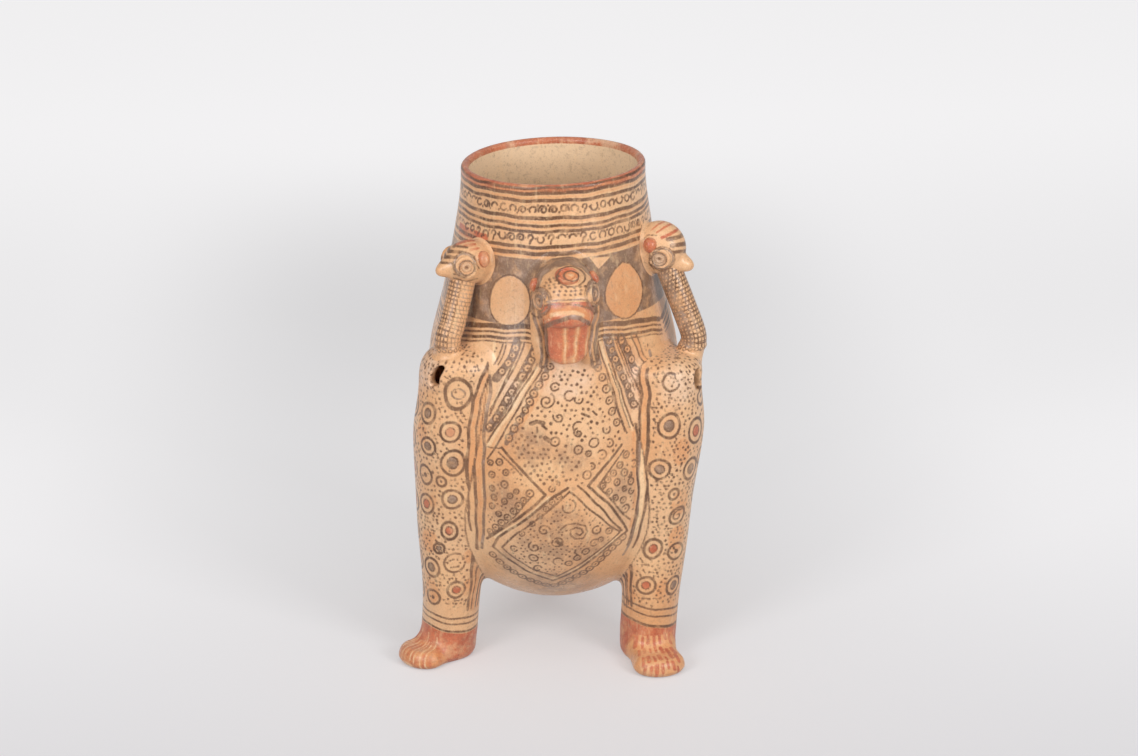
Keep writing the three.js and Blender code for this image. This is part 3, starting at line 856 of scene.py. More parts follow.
def jaw_local(points):
    here = local(points, FELINE_PLACE, FELINE_TURN) - JAW_AT
    depth = here[:, 1] * math.cos(JAW_TILT) + here[:, 2] * math.sin(JAW_TILT)
    height = here[:, 2] * math.cos(JAW_TILT) - here[:, 1] * math.sin(JAW_TILT)
    return np.stack([here[:, 0], depth, height + JAW_HALF[1]], 1)


def jaw_form(points):
    """The hanging jaw: a slab with a rounded end and a slightly arched face."""
    across, depth, height = jaw_local(points).T
    corner = np.where(height < 0, 10.5, 4.0)
    aside = np.abs(across) - (JAW_HALF[0] - corner)
    below = np.abs(height) - (JAW_HALF[1] - corner)
    outline = np.hypot(np.clip(aside, 0, None), np.clip(below, 0, None)) - corner
    outline = outline + np.minimum(np.maximum(aside, below), 0)
    dents = 0.35 * np.sin(across / 2.6 + 0.4) + 0.25 * np.sin(height / 5 + 1)
    face = -(depth - 0.011 * across * across - dents)
    return within(within(outline, face, 4.0), depth - 30.0, 2.0)


def jaw_luted(points):
    body = np.maximum(jaw_form(points), -(jar_form(points) + 2.0))
    return np.maximum(body, -(skull_form(points) + 2.5))


head_low = FELINE_PLACE - np.array([34, 38, 58])
head_high = FELINE_PLACE + np.array([34, 26, 30])
for name, form, cell, slip, finer in (
    ("feline_head", skull_luted, 1.6, "cream_slip", True),
    ("feline_muzzle", muzzle_luted, 1.3, "red_slip", False),
    ("feline_jaw", jaw_luted, 1.3, "red_slip", False),
):
    points, faces = model(form, head_low, head_high, cell)
    if finer:
        centre = face_centres(points, faces)
        points, faces = refine(form, points, faces, jar_form(centre) > -0.5)
    keep_piece(name, points, faces, slip)

# %% [markdown]
# ## The birds
#
# Each bird's neck is a roll of clay that bows away from the wall, from the leg's dome up to a head
# that leans back on the collar. Left and right differ, because they were rolled by hand: the left
# one is straighter and its head lower. The beak and a low ring round each eye are raised from the
# head's egg.

# %% Bird forms
BIRD_FIELDS = ("turn", "facing", "height", "half", "bow", "sway", "beak_drop", "eye", "knob",
               "knob_half", "foot")
BIRD_SIZES = {
    "left": (-50.5, -66, 273, 14, 14.5, 0.4, 2, (61, 4), (111, 19), (3.6, 5.6), HIP_HEIGHT + 23),
    "right": (67, 70, 275, 17, 16.5, 2.4, 9.4, (77, -14), (105, 19), (4.4, 4.8), HIP_HEIGHT + 14),
}
BIRDS = {side: dict(zip(BIRD_FIELDS, sizes)) for side, sizes in BIRD_SIZES.items()}
HEAD_STANDOFF = 7.5
NECK_RADIUS = 8.2
NECK_ROOT = 12.0


def curve(knots, count=28):
    """A smooth path through knots, which passes each of them."""
    knots = np.array(knots)
    ends = np.vstack([2 * knots[0] - knots[1], knots, 2 * knots[-1] - knots[-2]])
    path = []
    for i in range(len(knots) - 1):
        a, b, c, d = ends[i : i + 4]
        for t in np.linspace(0, 1, count // (len(knots) - 1), endpoint=False):
            path.append(0.5 * (2 * b + (c - a) * t + (2 * a - 5 * b + 4 * c - d) * t * t
                               + (3 * b - a - 3 * c + d) * t**3))
    return np.array([*path, knots[-1]])


def neck_path(bird):
    foot, bow, rise = bird["foot"], bird["bow"], bird["height"] - bird["foot"]
    knots = [
        (foot - NECK_ROOT, bow * 0.62), (foot, bow * 0.9),
        (foot + NECK_RADIUS, bow + bird["sway"] * 0.6),
        (foot + rise * 0.35, bow * 0.86 + bird["sway"]), (bird["height"] - bird["half"] * 0.4, 9.5),
    ]
    return curve([spot(bird["turn"], float(jar_radius(z)) + out, z) for z, out in knots])


def head_centre(bird):
    return spot(bird["turn"], float(jar_radius(bird["height"])) + HEAD_STANDOFF, bird["height"])


def head_local(bird, points):
    return local(points, head_centre(bird), bird["facing"])


def head_half(bird):
    return np.array([13.5, 16.5, float(bird["half"])])


def on_egg(half, turn, rise):
    """A place on an ellipsoid and the direction that it faces."""
    turn, rise = math.radians(turn), math.radians(rise)
    ray = np.array([math.cos(rise) * math.sin(turn), -math.cos(rise) * math.cos(turn), math.sin(rise)])
    place = ray / np.linalg.norm(ray / half)
    normal = place / half**2
    return place, normal / np.linalg.norm(normal)


def front_sign(bird):
    return -math.copysign(1, bird["turn"])


def bird_head_form(bird, points):
    here = head_local(bird, points)
    form = ellipsoid(here, head_half(bird))
    for sign in (-1, 1):
        place, normal = on_egg(head_half(bird), sign * bird["eye"][0], bird["eye"][1])
        offset = here - place - normal * 0.4
        lift = offset @ normal
        ring = np.hypot(np.linalg.norm(offset - lift[:, None] * normal, axis=1) - 5.9, lift * 1.2) - 1.3
        form = join(form, ring, 1.6)
    return form


def beak_form(bird, points):
    here = head_local(bird, points)
    base = ellipsoid(here - np.array([0, -13.0, -bird["beak_drop"]]), np.array([6.0, 8.0, 5.5]))
    tip = ellipsoid(here - np.array([0, -18.4, -bird["beak_drop"] - 1.2]), np.array([2.8, 3.4, 2.9]))
    nostrils = ellipsoid(here - np.array([0, -15.0, 2.6 - bird["beak_drop"]]),
                         np.array([3.4, 3.6, 2.4]))
    return join(join(base, tip, 2.5), nostrils, 2.0)


def neck_form(bird, leg, points):
    neck = rod(points, neck_path(bird), NECK_RADIUS)
    collar = 0.7 * np.exp(-(((points[:, 2] - bird["foot"] - 1.5) / 1.8) ** 2))
    seat = leg_column(leg, points)
    filleted = join(neck - collar, seat + FEATHER, 3.0)
    body = np.maximum(np.maximum(filleted, -(seat + 3.0)), neck - 4.0)
    body = np.maximum(body, 2.5 - vent(leg, points))
    return np.maximum(body, -(bird_head_form(bird, points) + 3.0))


def head_luted(bird, points):
    return luted(bird_head_form(bird, points), jar_form(points), 3.5, 3.0)


def beak_luted(bird, points):
    return luted(beak_form(bird, points), bird_head_form(bird, points), 3.0, 2.5)


for side, bird in BIRDS.items():
    low, high = head_centre(bird) - [26, 26, 24], head_centre(bird) + [26, 26, 24]
    for name, form, cell in (("bird_head", head_luted, 1.15), ("beak", beak_luted, 1.0)):
        points, faces = model(partial(form, bird), low, high, cell)
        keep_piece(f"{side}_{name}", points, faces, "cream_slip")
    neck = partial(neck_form, bird, LEGS[side])
    path = neck_path(bird)
    points, faces = model(neck, path.min(0) - 16, path.max(0) + 14, 1.25)
    centre = face_centres(points, faces)
    points, faces = refine(neck, points, faces, (centre[:, 2] > bird["foot"]) & (jar_form(centre) > 2))
    keep_piece(f"{side}_bird_neck", points, faces, "cream_slip")

# %% [markdown]
# ## Buttons, ears and rattles
#
# The eyes are flat pellets of clay pressed on and marked with a hollow reed. So each is a small
# turned button with a raised rim, a groove and a raised middle with a pricked pupil. The boss on the
# forehead is the same kind of button. Ears and crest knobs are pinched balls. The six rattle
# pellets inside the legs are balls too, each on a body of its own.

# %% Buttons
EYE_SECTION = [
    (1.0, -3.0), (1.02, 0.1), (0.97, 0.62), (0.88, 0.85), (0.79, 0.66), (0.73, 0.3), (0.66, 0.22),
    (0.59, 0.42), (0.5, 0.72), (0.4, 0.8), (0.3, 0.78), (0.24, 0.5), (0.15, 0.3), (0, 0.26),
]
BOSS_SECTION = [
    (1.0, -3.0), (1.02, 0.05), (0.98, 0.6), (0.9, 0.9), (0.8, 0.95), (0.7, 0.75), (0.64, 0.42),
    (0.56, 0.36), (0.4, 0.52), (0.2, 0.66), (0, 0.7),
]
BUTTON_THICKNESS = 2.2


def facing_turn(normal):
    """The rotation that turns the outward direction, -y, to face along a normal."""
    turn = Vector((0, -1, 0)).rotation_difference(Vector(normal))
    return np.array(turn.to_matrix())


def button(section, half, place, normal, thickness=BUTTON_THICKNESS, columns=56, rows=30):
    """A turned button with a closed back, standing on a place of a form."""
    share = np.array(section)
    fine = np.linspace(0, len(share) - 1, rows)
    profile = np.stack([np.interp(fine, np.arange(len(share)), share[:, i]) for i in (0, 1)], 1)
    angle = np.linspace(0, 2 * math.pi, columns, endpoint=False)
    wobble = 1 + 0.025 * np.sin(2 * angle + place[0]) + 0.02 * np.sin(3 * angle + place[2])
    rim = np.stack([np.cos(angle) * wobble * half[0], 0 * angle, np.sin(angle) * wobble * half[1]], 1)
    rings = [rim * r - np.array([0, h * thickness, 0]) for r, h in profile[:-1]]
    top = np.array([[0, -profile[-1, 1] * thickness, 0]])
    back = np.array([[0, -profile[0, 1] * thickness, 0]])
    points = np.concatenate([*rings, top, back])
    number = np.arange(len(rings) * columns).reshape(len(rings), columns)
    after = np.roll(number, -1, 1)
    quads = np.stack([number[:-1], after[:-1], after[1:], number[1:]], -1).reshape(-1, 4).tolist()
    crown, root = len(points) - 2, len(points) - 1
    quads += [[a, b, crown] for a, b in zip(number[-1], after[-1])]
    quads += [[b, a, root] for a, b in zip(number[0], after[0])]
    return points @ facing_turn(normal).T + place, quads


def ball(half, place, normal, seed, dent=0.0, columns=28):
    """A pinched ball of clay, with a dent in front if asked for."""
    angles = np.linspace(0, math.pi, columns // 2)
    section = [(math.sin(a), -math.cos(a)) for a in angles]
    section = [(r, h - dent * max(0, h) * math.exp(-((r / 0.5) ** 2))) for r, h in section]
    columns = np.linspace(0, 360, columns, endpoint=False)
    points, quads = sweep(section[:-1] + [(0, section[-1][1])], columns)
    phase = np.random.default_rng(seed).uniform(0, 6, 3)
    lumps = 1 + 0.035 * (np.sin(2.3 * points + phase).sum(1))
    points = points * lumps[:, None]
    standing = np.stack([points[:, 0], -points[:, 2], points[:, 1]], 1) * half
    return standing @ facing_turn(normal).T + place, quads


def spin(turn):
    """The rotation that turns the front by an angle in degrees."""
    angle = math.radians(turn)
    return np.array([[math.cos(angle), -math.sin(angle), 0], [math.sin(angle), math.cos(angle), 0],
                     [0, 0, 1]])


def in_head(place, normal, origin, turn):
    """A place and a direction of a head's own frame, in the jar's."""
    return spin(turn) @ place + origin, spin(turn) @ normal


def on_brow(turn, rise):
    place, normal = on_egg(SKULL_HALF, turn, rise)
    roll = np.array(Matrix.Rotation(BROW_ROLL, 3, "Y"))
    return in_head(roll @ place, roll @ normal, FELINE_PLACE, FELINE_TURN)


def on_bird(bird, turn, rise):
    return in_head(*on_egg(head_half(bird), turn, rise), head_centre(bird), bird["facing"])


boss = button(BOSS_SECTION, (7.4, 5.8), *on_brow(6, 46))
keep_piece("forehead_boss", *boss, "red_slip")
for side, sign in (("left", -1), ("right", 1)):
    half = (6.0, 7.5) if sign < 0 else (5.6, 8.2)
    shape = button(EYE_SECTION, half, *on_brow(50 * sign, 4))
    keep_piece(f"feline_{side}_eye", *shape, "grey_slip")
    shape = ball((2.9, 3.4, 4.4), *on_brow(82 * sign, 25), 3 + sign, dent=0.25)
    keep_piece(f"feline_{side}_ear", *shape, "red_slip")
for side, bird in BIRDS.items():
    for name, sign in (("front", front_sign(bird)), ("back", -front_sign(bird))):
        turn, rise = bird["eye"]
        shape = button(EYE_SECTION, (5.2, 5.2), *on_bird(bird, sign * turn, rise), thickness=1.9)
        keep_piece(f"{side}_bird_{name}_eye", *shape, "grey_slip")
        turn, rise = bird["knob"]
        wide, tall = bird["knob_half"] if name == "front" else (3.2, 3.4)
        shape = ball((wide, 4.0, tall), *on_bird(bird, sign * turn, rise),
                     int(bird["turn"] + 60 + sign))
        keep_piece(f"{side}_bird_{name}_knob", *shape, "red_slip")
for leg_name in LEGS:
    for mark, letter in enumerate("ab"):
        node = f"{leg_name}_pellet_{letter}"
        low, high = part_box(node)
        place = (np.array(low) + np.array(high)) / 2 / MM - AXIS
        radius = (high.x - low.x) / 2 / MM
        shape = ball((radius, radius, radius), place, (0, -1, 0), 20 + 2 * mark + len(leg_name))
        keep_piece(node, *shape, "bare_clay", "ball", body=node)

# %% [markdown]
# ## The painting
#
# The potter painted with a fine brush in dark slip over the cream one. Each stroke here is a
# distance: how far a corner of the mesh lies from the edge of the stroke, negative inside it. Union
# is the smaller distance, and scraping away is the larger. One layer holds the dark lines, and the
# others the thin grey wash, red slip, a warm orange one, pale slip, which on the muzzle is a painted
# highlight, the bare khaki of the inside, the smoky stains of the firing, which also darken the lower
# and middle belly as painted shade, and painted highlights on the upper belly and the legs. The
# material turns the distances into soft brush edges, so a line stays smooth between corners.
#
# A `Sheet` is a part of the surface with its own chart. On the wall the chart is the turn and the
# height. On a leg it is the angle round the leg. Strokes are drawn in the chart's degrees and
# millimetres, so they lie on the curved clay without stretching.

# %% Sheets and strokes
NONE = 9.0
OWNERS = list(PIECES)
SPANS = np.cumsum([0] + [len(CHARTS[name]) for name in OWNERS])
ALL = np.concatenate([CHARTS[name] for name in OWNERS])
LAYER_NAMES = ("dark", "grey", "red", "warm", "pale", "buff", "smoke", "haze")
LAYERS = {layer: np.full(len(ALL), NONE) for layer in LAYER_NAMES}


def rows_of(*names):
    return np.concatenate([np.arange(SPANS[OWNERS.index(n)],
                                     SPANS[OWNERS.index(n) + 1]) for n in names])


class Sheet:
    """A part of the surface, with a chart in degrees across and millimetres up."""

    def __init__(self, index, across, up, scale, lift=None):
        order = np.argsort(up)
        self.index = index[order]
        self.across = across[order]
        self.up = up[order]
        self.scale = scale[order]
        self.lift = lift or (lambda height: height)

    def nearby(self, points, margin):
        """The corners near some chart points, and those points as seen from each corner."""
        points = np.array(points, float).reshape(-1, 2)
        points[:, 1] = self.lift(points[:, 1])
        low, high = points.min(0), points.max(0)
        middle = (low[0] + high[0]) / 2
        start, end = np.searchsorted(self.up, (low[1] - margin, high[1] + margin))
        aside = (self.across[start:end] - middle + 180) % 360 - 180
        near = (np.abs(aside) - (high[0] - low[0]) / 2) * self.scale[start:end] < margin
        rows = start + np.flatnonzero(near)
        du = (points[None, :, 0] - middle - aside[near, None]) * self.scale[rows, None]
        return rows, du, points[None, :, 1] - self.up[rows, None]

    def lay(self, layer, rows, distance, scrape=False):
        target = LAYERS[layer]
        index = self.index[rows]
        if scrape:
            target[index] = np.maximum(target[index], -distance)
        else:
            target[index] = np.minimum(target[index], distance)

    def line(self, layer, points, width=1.5, scrape=False):
        rows, du, dv = self.nearby(points, width + 3)
        self.lay(layer, rows, path_distance(du, dv) - width / 2, scrape)

    def figure(self, layer, centre, shape, width=1.4, scrape=False):
        """A small figure, given as millimetres round its centre."""
        shape = np.array(shape, float)
        rows, du, dv = self.nearby([centre], np.abs(shape).max() + width + 3)
        self.lay(layer, rows, path_distance(du + shape[:, 0], dv + shape[:, 1]) - width / 2, scrape)

    def disc(self, layer, centre, radius, squash=1.0, scrape=False):
        rows, du, dv = self.nearby([centre], max(radius, radius * squash) + 3)
        size = np.hypot(du[:, 0], dv[:, 0] / squash)
        self.lay(layer, rows, (size - radius) * min(1, squash), scrape)

    def ring(self, layer, centre, radius, width=1.4, squash=1.0):
        rows, du, dv = self.nearby([centre], max(radius, radius * squash) + width + 3)
        size = np.hypot(du[:, 0], dv[:, 0] / squash)
        self.lay(layer, rows, np.abs(size - radius) - width / 2)

    def area(self, layer, points, scrape=False):
        """A filled outline."""
        points = [*points, points[0]]
        rows, du, dv = self.nearby(points, 5)
        a, b = du[:, :-1], du[:, 1:]
        c, d = dv[:, :-1], dv[:, 1:]
        slope = a + (b - a) * -c / np.where(c == d, 1e-9, d - c)
        inside = (((c > 0) != (d > 0)) & (slope > 0)).sum(1) % 2 == 1
        distance = path_distance(du, dv)
        self.lay(layer, rows, np.where(inside, -distance, distance), scrape)

    def clear(self, place, room, layers=("dark", "grey", "red")):
        """Whether no stroke comes within `room` of a place."""
        rows, du, dv = self.nearby([place], room)
        index = self.index[rows[np.hypot(du[:, 0], dv[:, 0]) < room]]
        return len(index) > 0 and all(LAYERS[layer][index].min() > 0.2 for layer in layers)


def path_distance(du, dv):
    """The distance from the origin of each row to its path of points."""
    if du.shape[1] == 1:
        return np.hypot(du[:, 0], dv[:, 0])
    a_u, a_v = du[:, :-1], dv[:, :-1]
    e_u, e_v = du[:, 1:] - a_u, dv[:, 1:] - a_v
    share = np.clip(-(a_u * e_u + a_v * e_v) / np.maximum(e_u**2 + e_v**2, 1e-9), 0, 1)
    return np.hypot(a_u + share * e_u, a_v + share * e_v).min(1)


def arc(radius, start, end, squash=1.0, count=12):
    """A piece of a circle round the centre, between two angles in degrees."""
    angle = np.radians(np.linspace(start, end, count))
    return np.stack([radius * np.cos(angle), radius * squash * np.sin(angle)], 1)


def spiral(radius, start, sweep_angle, inner=0.15):
    """A spiral from the outside in; a negative sweep turns the other way."""
    angle = np.radians(np.linspace(start, start + sweep_angle, 24))
    reach = radius * np.linspace(1, inner, 24)
    return np.stack([reach * np.cos(angle), reach * np.sin(angle)], 1)


print(len(ALL), "corners to paint on", len(OWNERS), "pieces")

# %% [markdown]
# The wall's chart covers the four turned pieces and every luted part beyond the crease. A corner
# belongs to a leg when the leg's column is nearer than the wall, so lines on the wall can run right
# up to the crease, and a line along the crease itself is drawn from the same comparison.

# %% Charts
PLAIN_WORDS = ("bird", "beak", "muzzle", "jaw", "eye", "ear", "boss", "ball")
METRIC_HEIGHT = np.concatenate([np.linspace(BELLY_CLEARANCE, BELLY_HEIGHT, 300),
                                np.arange(122.5, 328, 0.5)])
METRIC_RADIUS = jar_radius(METRIC_HEIGHT)
METRIC_LENGTH = np.cumsum(np.hypot(np.diff(METRIC_HEIGHT, prepend=33.0),
                                   np.diff(METRIC_RADIUS, prepend=0.0)))


def meridian(height):
    """The length along the wall from its lowest point up to a height."""
    return np.interp(height, METRIC_HEIGHT, METRIC_LENGTH)


def hand(across, up, scale):
    """The wavering of a brush hand, as shifts across and up in millimetres."""
    u = across * scale
    aside = 0.30 * np.sin(up / 5.3 + u / 17) + 0.2 * np.sin(up / 2.9 - u / 7)
    lift = 0.30 * np.sin(u / 6.1 + up / 19) + 0.2 * np.sin(u / 3.1 - up / 8)
    return aside / scale, lift


turn, height, reach = jar_chart(ALL)
JAR_GAP = jar_form(ALL)
LEG_GAP = {side: leg_column(leg, ALL) for side, leg in LEGS.items()}
nearest_leg = np.min(list(LEG_GAP.values()), axis=0)
on_heads = np.zeros(len(ALL), bool)
on_heads[rows_of(*[owner for owner in OWNERS if any(word in owner for word in PLAIN_WORDS)])] = True
skull = rows_of("feline_head_skin")
SKULL_GAP = np.full(len(ALL), 99.0)
SKULL_GAP[skull] = skull_form(ALL[skull])
inside_wall = JAR_GAP < -1.0
scale = np.maximum(reach, 12) * math.pi / 180
wander, bob = hand(turn, meridian(height), scale)

on_wall = ~on_heads & ~inside_wall & (nearest_leg > JAR_GAP - 0.5) & (SKULL_GAP > JAR_GAP)
index = np.flatnonzero(on_wall)
WALL = Sheet(index, (turn + wander)[index], (meridian(height) + bob)[index], scale[index], meridian)
LEG_SHEETS = {}
for side, leg in LEGS.items():
    index = rows_of(f"{side}_leg_skin")
    index = index[(LEG_GAP[side][index] <= JAR_GAP[index] + 0.5) & (LEG_GAP[side][index] > -2.5)]
    angle, level, span = leg_chart(leg, ALL[index])
    size = np.maximum(through(LEG_KNOTS, level), 8) * math.pi / 180
    aside, lift = hand(angle, level, size)
    LEG_SHEETS[side] = Sheet(index, angle + aside, level + lift, size)
print("wall corners", len(WALL.index), "leg corners",
      [len(sheet.index) for sheet in LEG_SHEETS.values()])

# %% [markdown]
# The collar: a red lip, three dark lines, a band of small scrolls, three more lines, a second band
# and a double line. They run all the way round. The scrolls are quick brush figures, each a little
# different, with dots between them.

# %% Collar
RANDOM = np.random.default_rng(11)
SCROLLS = (
    arc(2.2, -40, 220), arc(2.1, 60, 330), arc(2.2, 150, 400), spiral(2.7, 200, -430, 0.3),
    spiral(2.6, -20, 400, 0.35),
    np.concatenate([arc(1.5, 200, -80, 1.0) + [0, 1.0], [[-0.4, -2.7]]]), arc(1.9, 0, 360),
    arc(2.2, 180, 20),
)
COLLAR_LINES = (323.4, 319.7, 314.9, 304.3, 299.9, 296.5, 286.9, 282.6)
COLLAR_WIDTHS = (1.7, 2.3, 2.2, 2.4, 1.9, 2.0, 2.2, 2.6)
WARM_LINES = (321.6, 317.3, 302.1, 298.2, 284.8, 281.0)
SCROLL_BANDS = (309.9, 291.8)


def around(level, wave=0.5, phase=0.0):
    turns = np.arange(-180, 184, 4.0)
    return np.stack([turns, level + wave * np.sin(np.radians(2 * turns) + phase)], 1)


def ring_line(sheet, layer, level, width, phase=0.0):
    path = around(level, 0.4, phase)
    for start in range(0, len(path) - 1, 15):
        sheet.line(layer, path[start : start + 16], width)


for number, (level, width) in enumerate(zip(COLLAR_LINES, COLLAR_WIDTHS)):
    ring_line(WALL, "dark", level, width, number)
for level in WARM_LINES:
    ring_line(WALL, "warm", level, 1.2)
for number, level in enumerate(SCROLL_BANDS):
    turn_step = math.degrees(6.5 / float(jar_radius(level)))
    for place in np.arange(-180, 180 - turn_step / 2, turn_step):
        shape = SCROLLS[RANDOM.integers(len(SCROLLS))] * RANDOM.uniform(0.9, 1.15)
        WALL.figure("dark", (place, level + RANDOM.uniform(-0.3, 0.3)), shape, RANDOM.uniform(1.1, 1.5))
        WALL.disc("dark", (place + turn_step / 2, level + RANDOM.choice((-2.2, 0.4, 2.4))),
                  RANDOM.uniform(0.5, 0.9))
LAYERS["red"][rows_of("rim_lip_skin")] = -0.3
red_lip = np.maximum(322.9 + 0.4 * np.sin(np.radians(turn * 3)) - height, reach - RIM_RADIUS - 3)
LAYERS["red"] = np.where(~on_heads & (height > 300), np.minimum(LAYERS["red"], red_lip), LAYERS["red"])
turned = rows_of("collar_wall_skin", "belly_wall_skin", "base_bowl_skin", "rim_lip_skin")
LAYERS["buff"][turned] = np.clip(JAR_GAP[turned] + 2.2, -NONE, NONE)
LAYERS["red"] = np.where(inside_wall & (height > 310), np.clip((321 - height) * 2, -0.3, NONE),
                         LAYERS["red"])
WALL.area("red", [(-76, 291), (-76, 284.6), (-45, 285), (-44, 291.4)])
print("collar painted")

# %% [markdown]
# Below the collar a grey field runs round the jar, with a cream oval left free on each side of the
# head. Its lower edge is closed by pairs of dark and cream lines.

# %% Grey field and ovals
FIELD_TOP, FIELD_FOOT = 279.3, 238.5
OVALS = (
    (-26.7, 252.4, 11.6, 15.2), (94, 254, 11.0, 14.0), (-98, 252, 11.5, 14.5),
    (131, 253, 11.5, 15.0), (-134, 254, 11.0, 14.5), (180, 253, 12.0, 15.0),
)
FIELD_LINES = ((238.4, 3.2), (234.7, 1.3), (231.5, 1.9), (228.9, 1.0))
SCRAPED_TURNS = (-66, -70.5, -75, -79.5, 76, 81, 86)


def pointed_drop(turn_at, level, half, low, high):
    """An outline with a round foot and a pointed head."""
    angles = np.radians(np.arange(-100, 101, 20))
    foot = [(turn_at + half * math.sin(a), level - low * math.cos(a)) for a in angles]
    crown = [(0.9, 0.38), (0.7, 0.66), (0.4, 0.88), (0.0, 1.0), (-0.42, 0.87), (-0.74, 0.64),
             (-0.93, 0.36)]
    return [*foot, *[(turn_at + half * aside, level + high * up) for aside, up in crown]]


field = np.maximum(height - FIELD_TOP, FIELD_FOOT + 0.8 * np.sin(np.radians(turn * 2)) - height)
WALL.lay("grey", np.arange(len(WALL.index)), field[WALL.index])
for place, level, half, tall in OVALS:
    k = float(jar_radius(level)) * math.pi / 180
    angles = np.radians(np.arange(0, 360, 20))
    outline = [(place + half * math.cos(a), level + tall * math.sin(a)) for a in angles]
    WALL.area("grey", outline, scrape=True)
    if place > 0:
        WALL.area("warm", outline)
    WALL.ring("dark", (place, level), half * k + 0.7, 1.0, tall / (half * k))
drop = pointed_drop(38.2, 253, 13.2, 15.0, 19.0)
WALL.area("grey", drop, scrape=True)
WALL.area("warm", drop)
WALL.line("dark", [*drop, drop[0]], 1.0)
WALL.area("grey", [(17.5, 279.2), (31, 277.4), (22.4, 271.0)], scrape=True)
for level, width in FIELD_LINES:
    for middle in (0, 127, -127):
        arch = [(middle + place, level - 4.6 * (place / 45) ** 2) for place in range(-62, 63, 4)]
        WALL.line("dark", arch, width)
for place in SCRAPED_TURNS:
    lean = math.copysign(5, place)
    WALL.line("grey", [(place, 277), (place + 0.4 * lean, 250), (place + lean, 222)], 1.2, scrape=True)
print("field painted")

# %% [markdown]
# The belly's design fills the space between two legs: slanting bands with chains of rings, an open
# field with spirals, hooks and dots, a chevron from each side and a lozenge below. The back can't
# be seen in the photograph. There are two more such spaces beside the rear leg, so the design is
# repeated there with other dots, slightly narrower.

# %% Belly strokes
LEFT_BANDS = {
    "grey": [
        ([(-20.6, 228), (-24.6, 214), (-29.4, 204)], 5.4),
        ([(-10.6, 228), (-15.2, 213), (-21.6, 197), (-26.4, 184.6), (-31.4, 172.4)], 5.8),
        ([(-5.2, 215), (-9.6, 203), (-15.6, 187), (-20, 174), (-23.4, 164)], 3.2),
        ([(-32.2, 206), (-31.9, 195), (-33, 185), (-33.6, 170), (-33.7, 150), (-33, 130), (-33.6, 110),
          (-35, 99),
          (-38, 88)], 2.2),
    ],
    "dark": [
        ([(-27.8, 226), (-29.8, 218), (-31.2, 212.6)], 1.1),
        ([(-26, 226.6), (-27.6, 219), (-29.2, 213)], 1.0),
        ([(-18.9, 227), (-23.6, 208.4), (-28, 194), (-31.6, 184)], 1.2),
        ([(-17, 227.4), (-21.8, 210.4), (-25.6, 200), (-29.6, 188.6), (-32, 180)], 1.2),
        ([(-9.4, 223.6), (-15.4, 209.4), (-21.2, 195.4), (-28.2, 177.8), (-31.6, 169.8)], 1.2),
        ([(-8.8, 219.6), (-14.3, 206.4), (-21, 190.4), (-28.6, 171.8), (-32.6, 163)], 1.3),
        ([(-37.2, 186), (-37.4, 174), (-37.4, 112), (-38.4, 100), (-41, 86)], 2.2),
        ([(-12.6, 228), (-16, 218.6), (-20.4, 206), (-25.6, 192), (-30.6, 178)], 0.8),
        ([(-6.6, 218.6), (-9.2, 210.8), (-13.8, 199.8), (-20, 184.4), (-25, 169.2), (-28.4, 161.4),
          (-32, 152.6)], 1.3),
        ([(-25.6, 161), (-11.8, 140.4), (-6.2, 132.2), (-10.6, 125), (-16, 118.6), (-29.7, 100.6),
          (-33.6, 96.6)], 1.8),
        ([(-27, 158), (-19.6, 148.8), (-16.4, 144)], 1.1), ([(-32.4, 160.4), (-26, 160.6)], 0.9),
        ([(-12.2, 130.2), (-19.4, 117), (-27.6, 104.4), (-32.2, 99.6)], 0.9),
    ],
}
RIGHT_BANDS = {
    "grey": [
        ([(15.6, 229), (17.2, 221), (18.4, 214)], 4.2), ([(22.6, 229), (24.8, 219)], 4.4),
        ([(24.4, 228), (27.4, 214), (30.4, 201), (34.4, 184)], 5.2),
        ([(31.4, 228), (34.4, 217), (37, 206)], 5.4),
        ([(48, 214), (44, 204), (40, 192), (37, 177), (35.6, 160), (34.8, 130), (34.8, 110), (33.4, 95),
          (32.2, 82)], 2.2),
    ],
    "dark": [
        ([(17.6, 229), (20.2, 218.6), (23.6, 200), (27, 181), (30.2, 167)], 1.2),
        ([(23.2, 213), (25.8, 200), (29.6, 180.6), (32.2, 170)], 0.9),
        ([(21.6, 228), (25.2, 211), (28.6, 192.4), (33.8, 170.6)], 1.3),
        ([(28.9, 228.6), (33, 211), (36.4, 196), (38.8, 187)], 1.2),
        ([(27.4, 229), (31.6, 210.4), (35.4, 194)], 0.8),
        ([(37.4, 226.6), (39.6, 218.6), (43.2, 205.6)], 1.2),
        ([(40.6, 227.6), (42.4, 218), (44.8, 208.6)], 1.1),
        ([(20.8, 207), (24.6, 190), (27.6, 176), (29.4, 168)], 0.9),
        ([(26.8, 160.6), (20, 150.6), (11.2, 136.6), (20, 124), (25.2, 114.4), (30.4, 101.4)], 1.8),
        ([(27.9, 156.6), (22, 147.2), (15.2, 136.2), (19, 130.4), (28, 114), (31.2, 109.4)], 1.3),
        ([(7, 137.6), (11, 131), (17, 121.4), (21, 113.4), (27.4, 102.4)], 1.5),
    ],
}
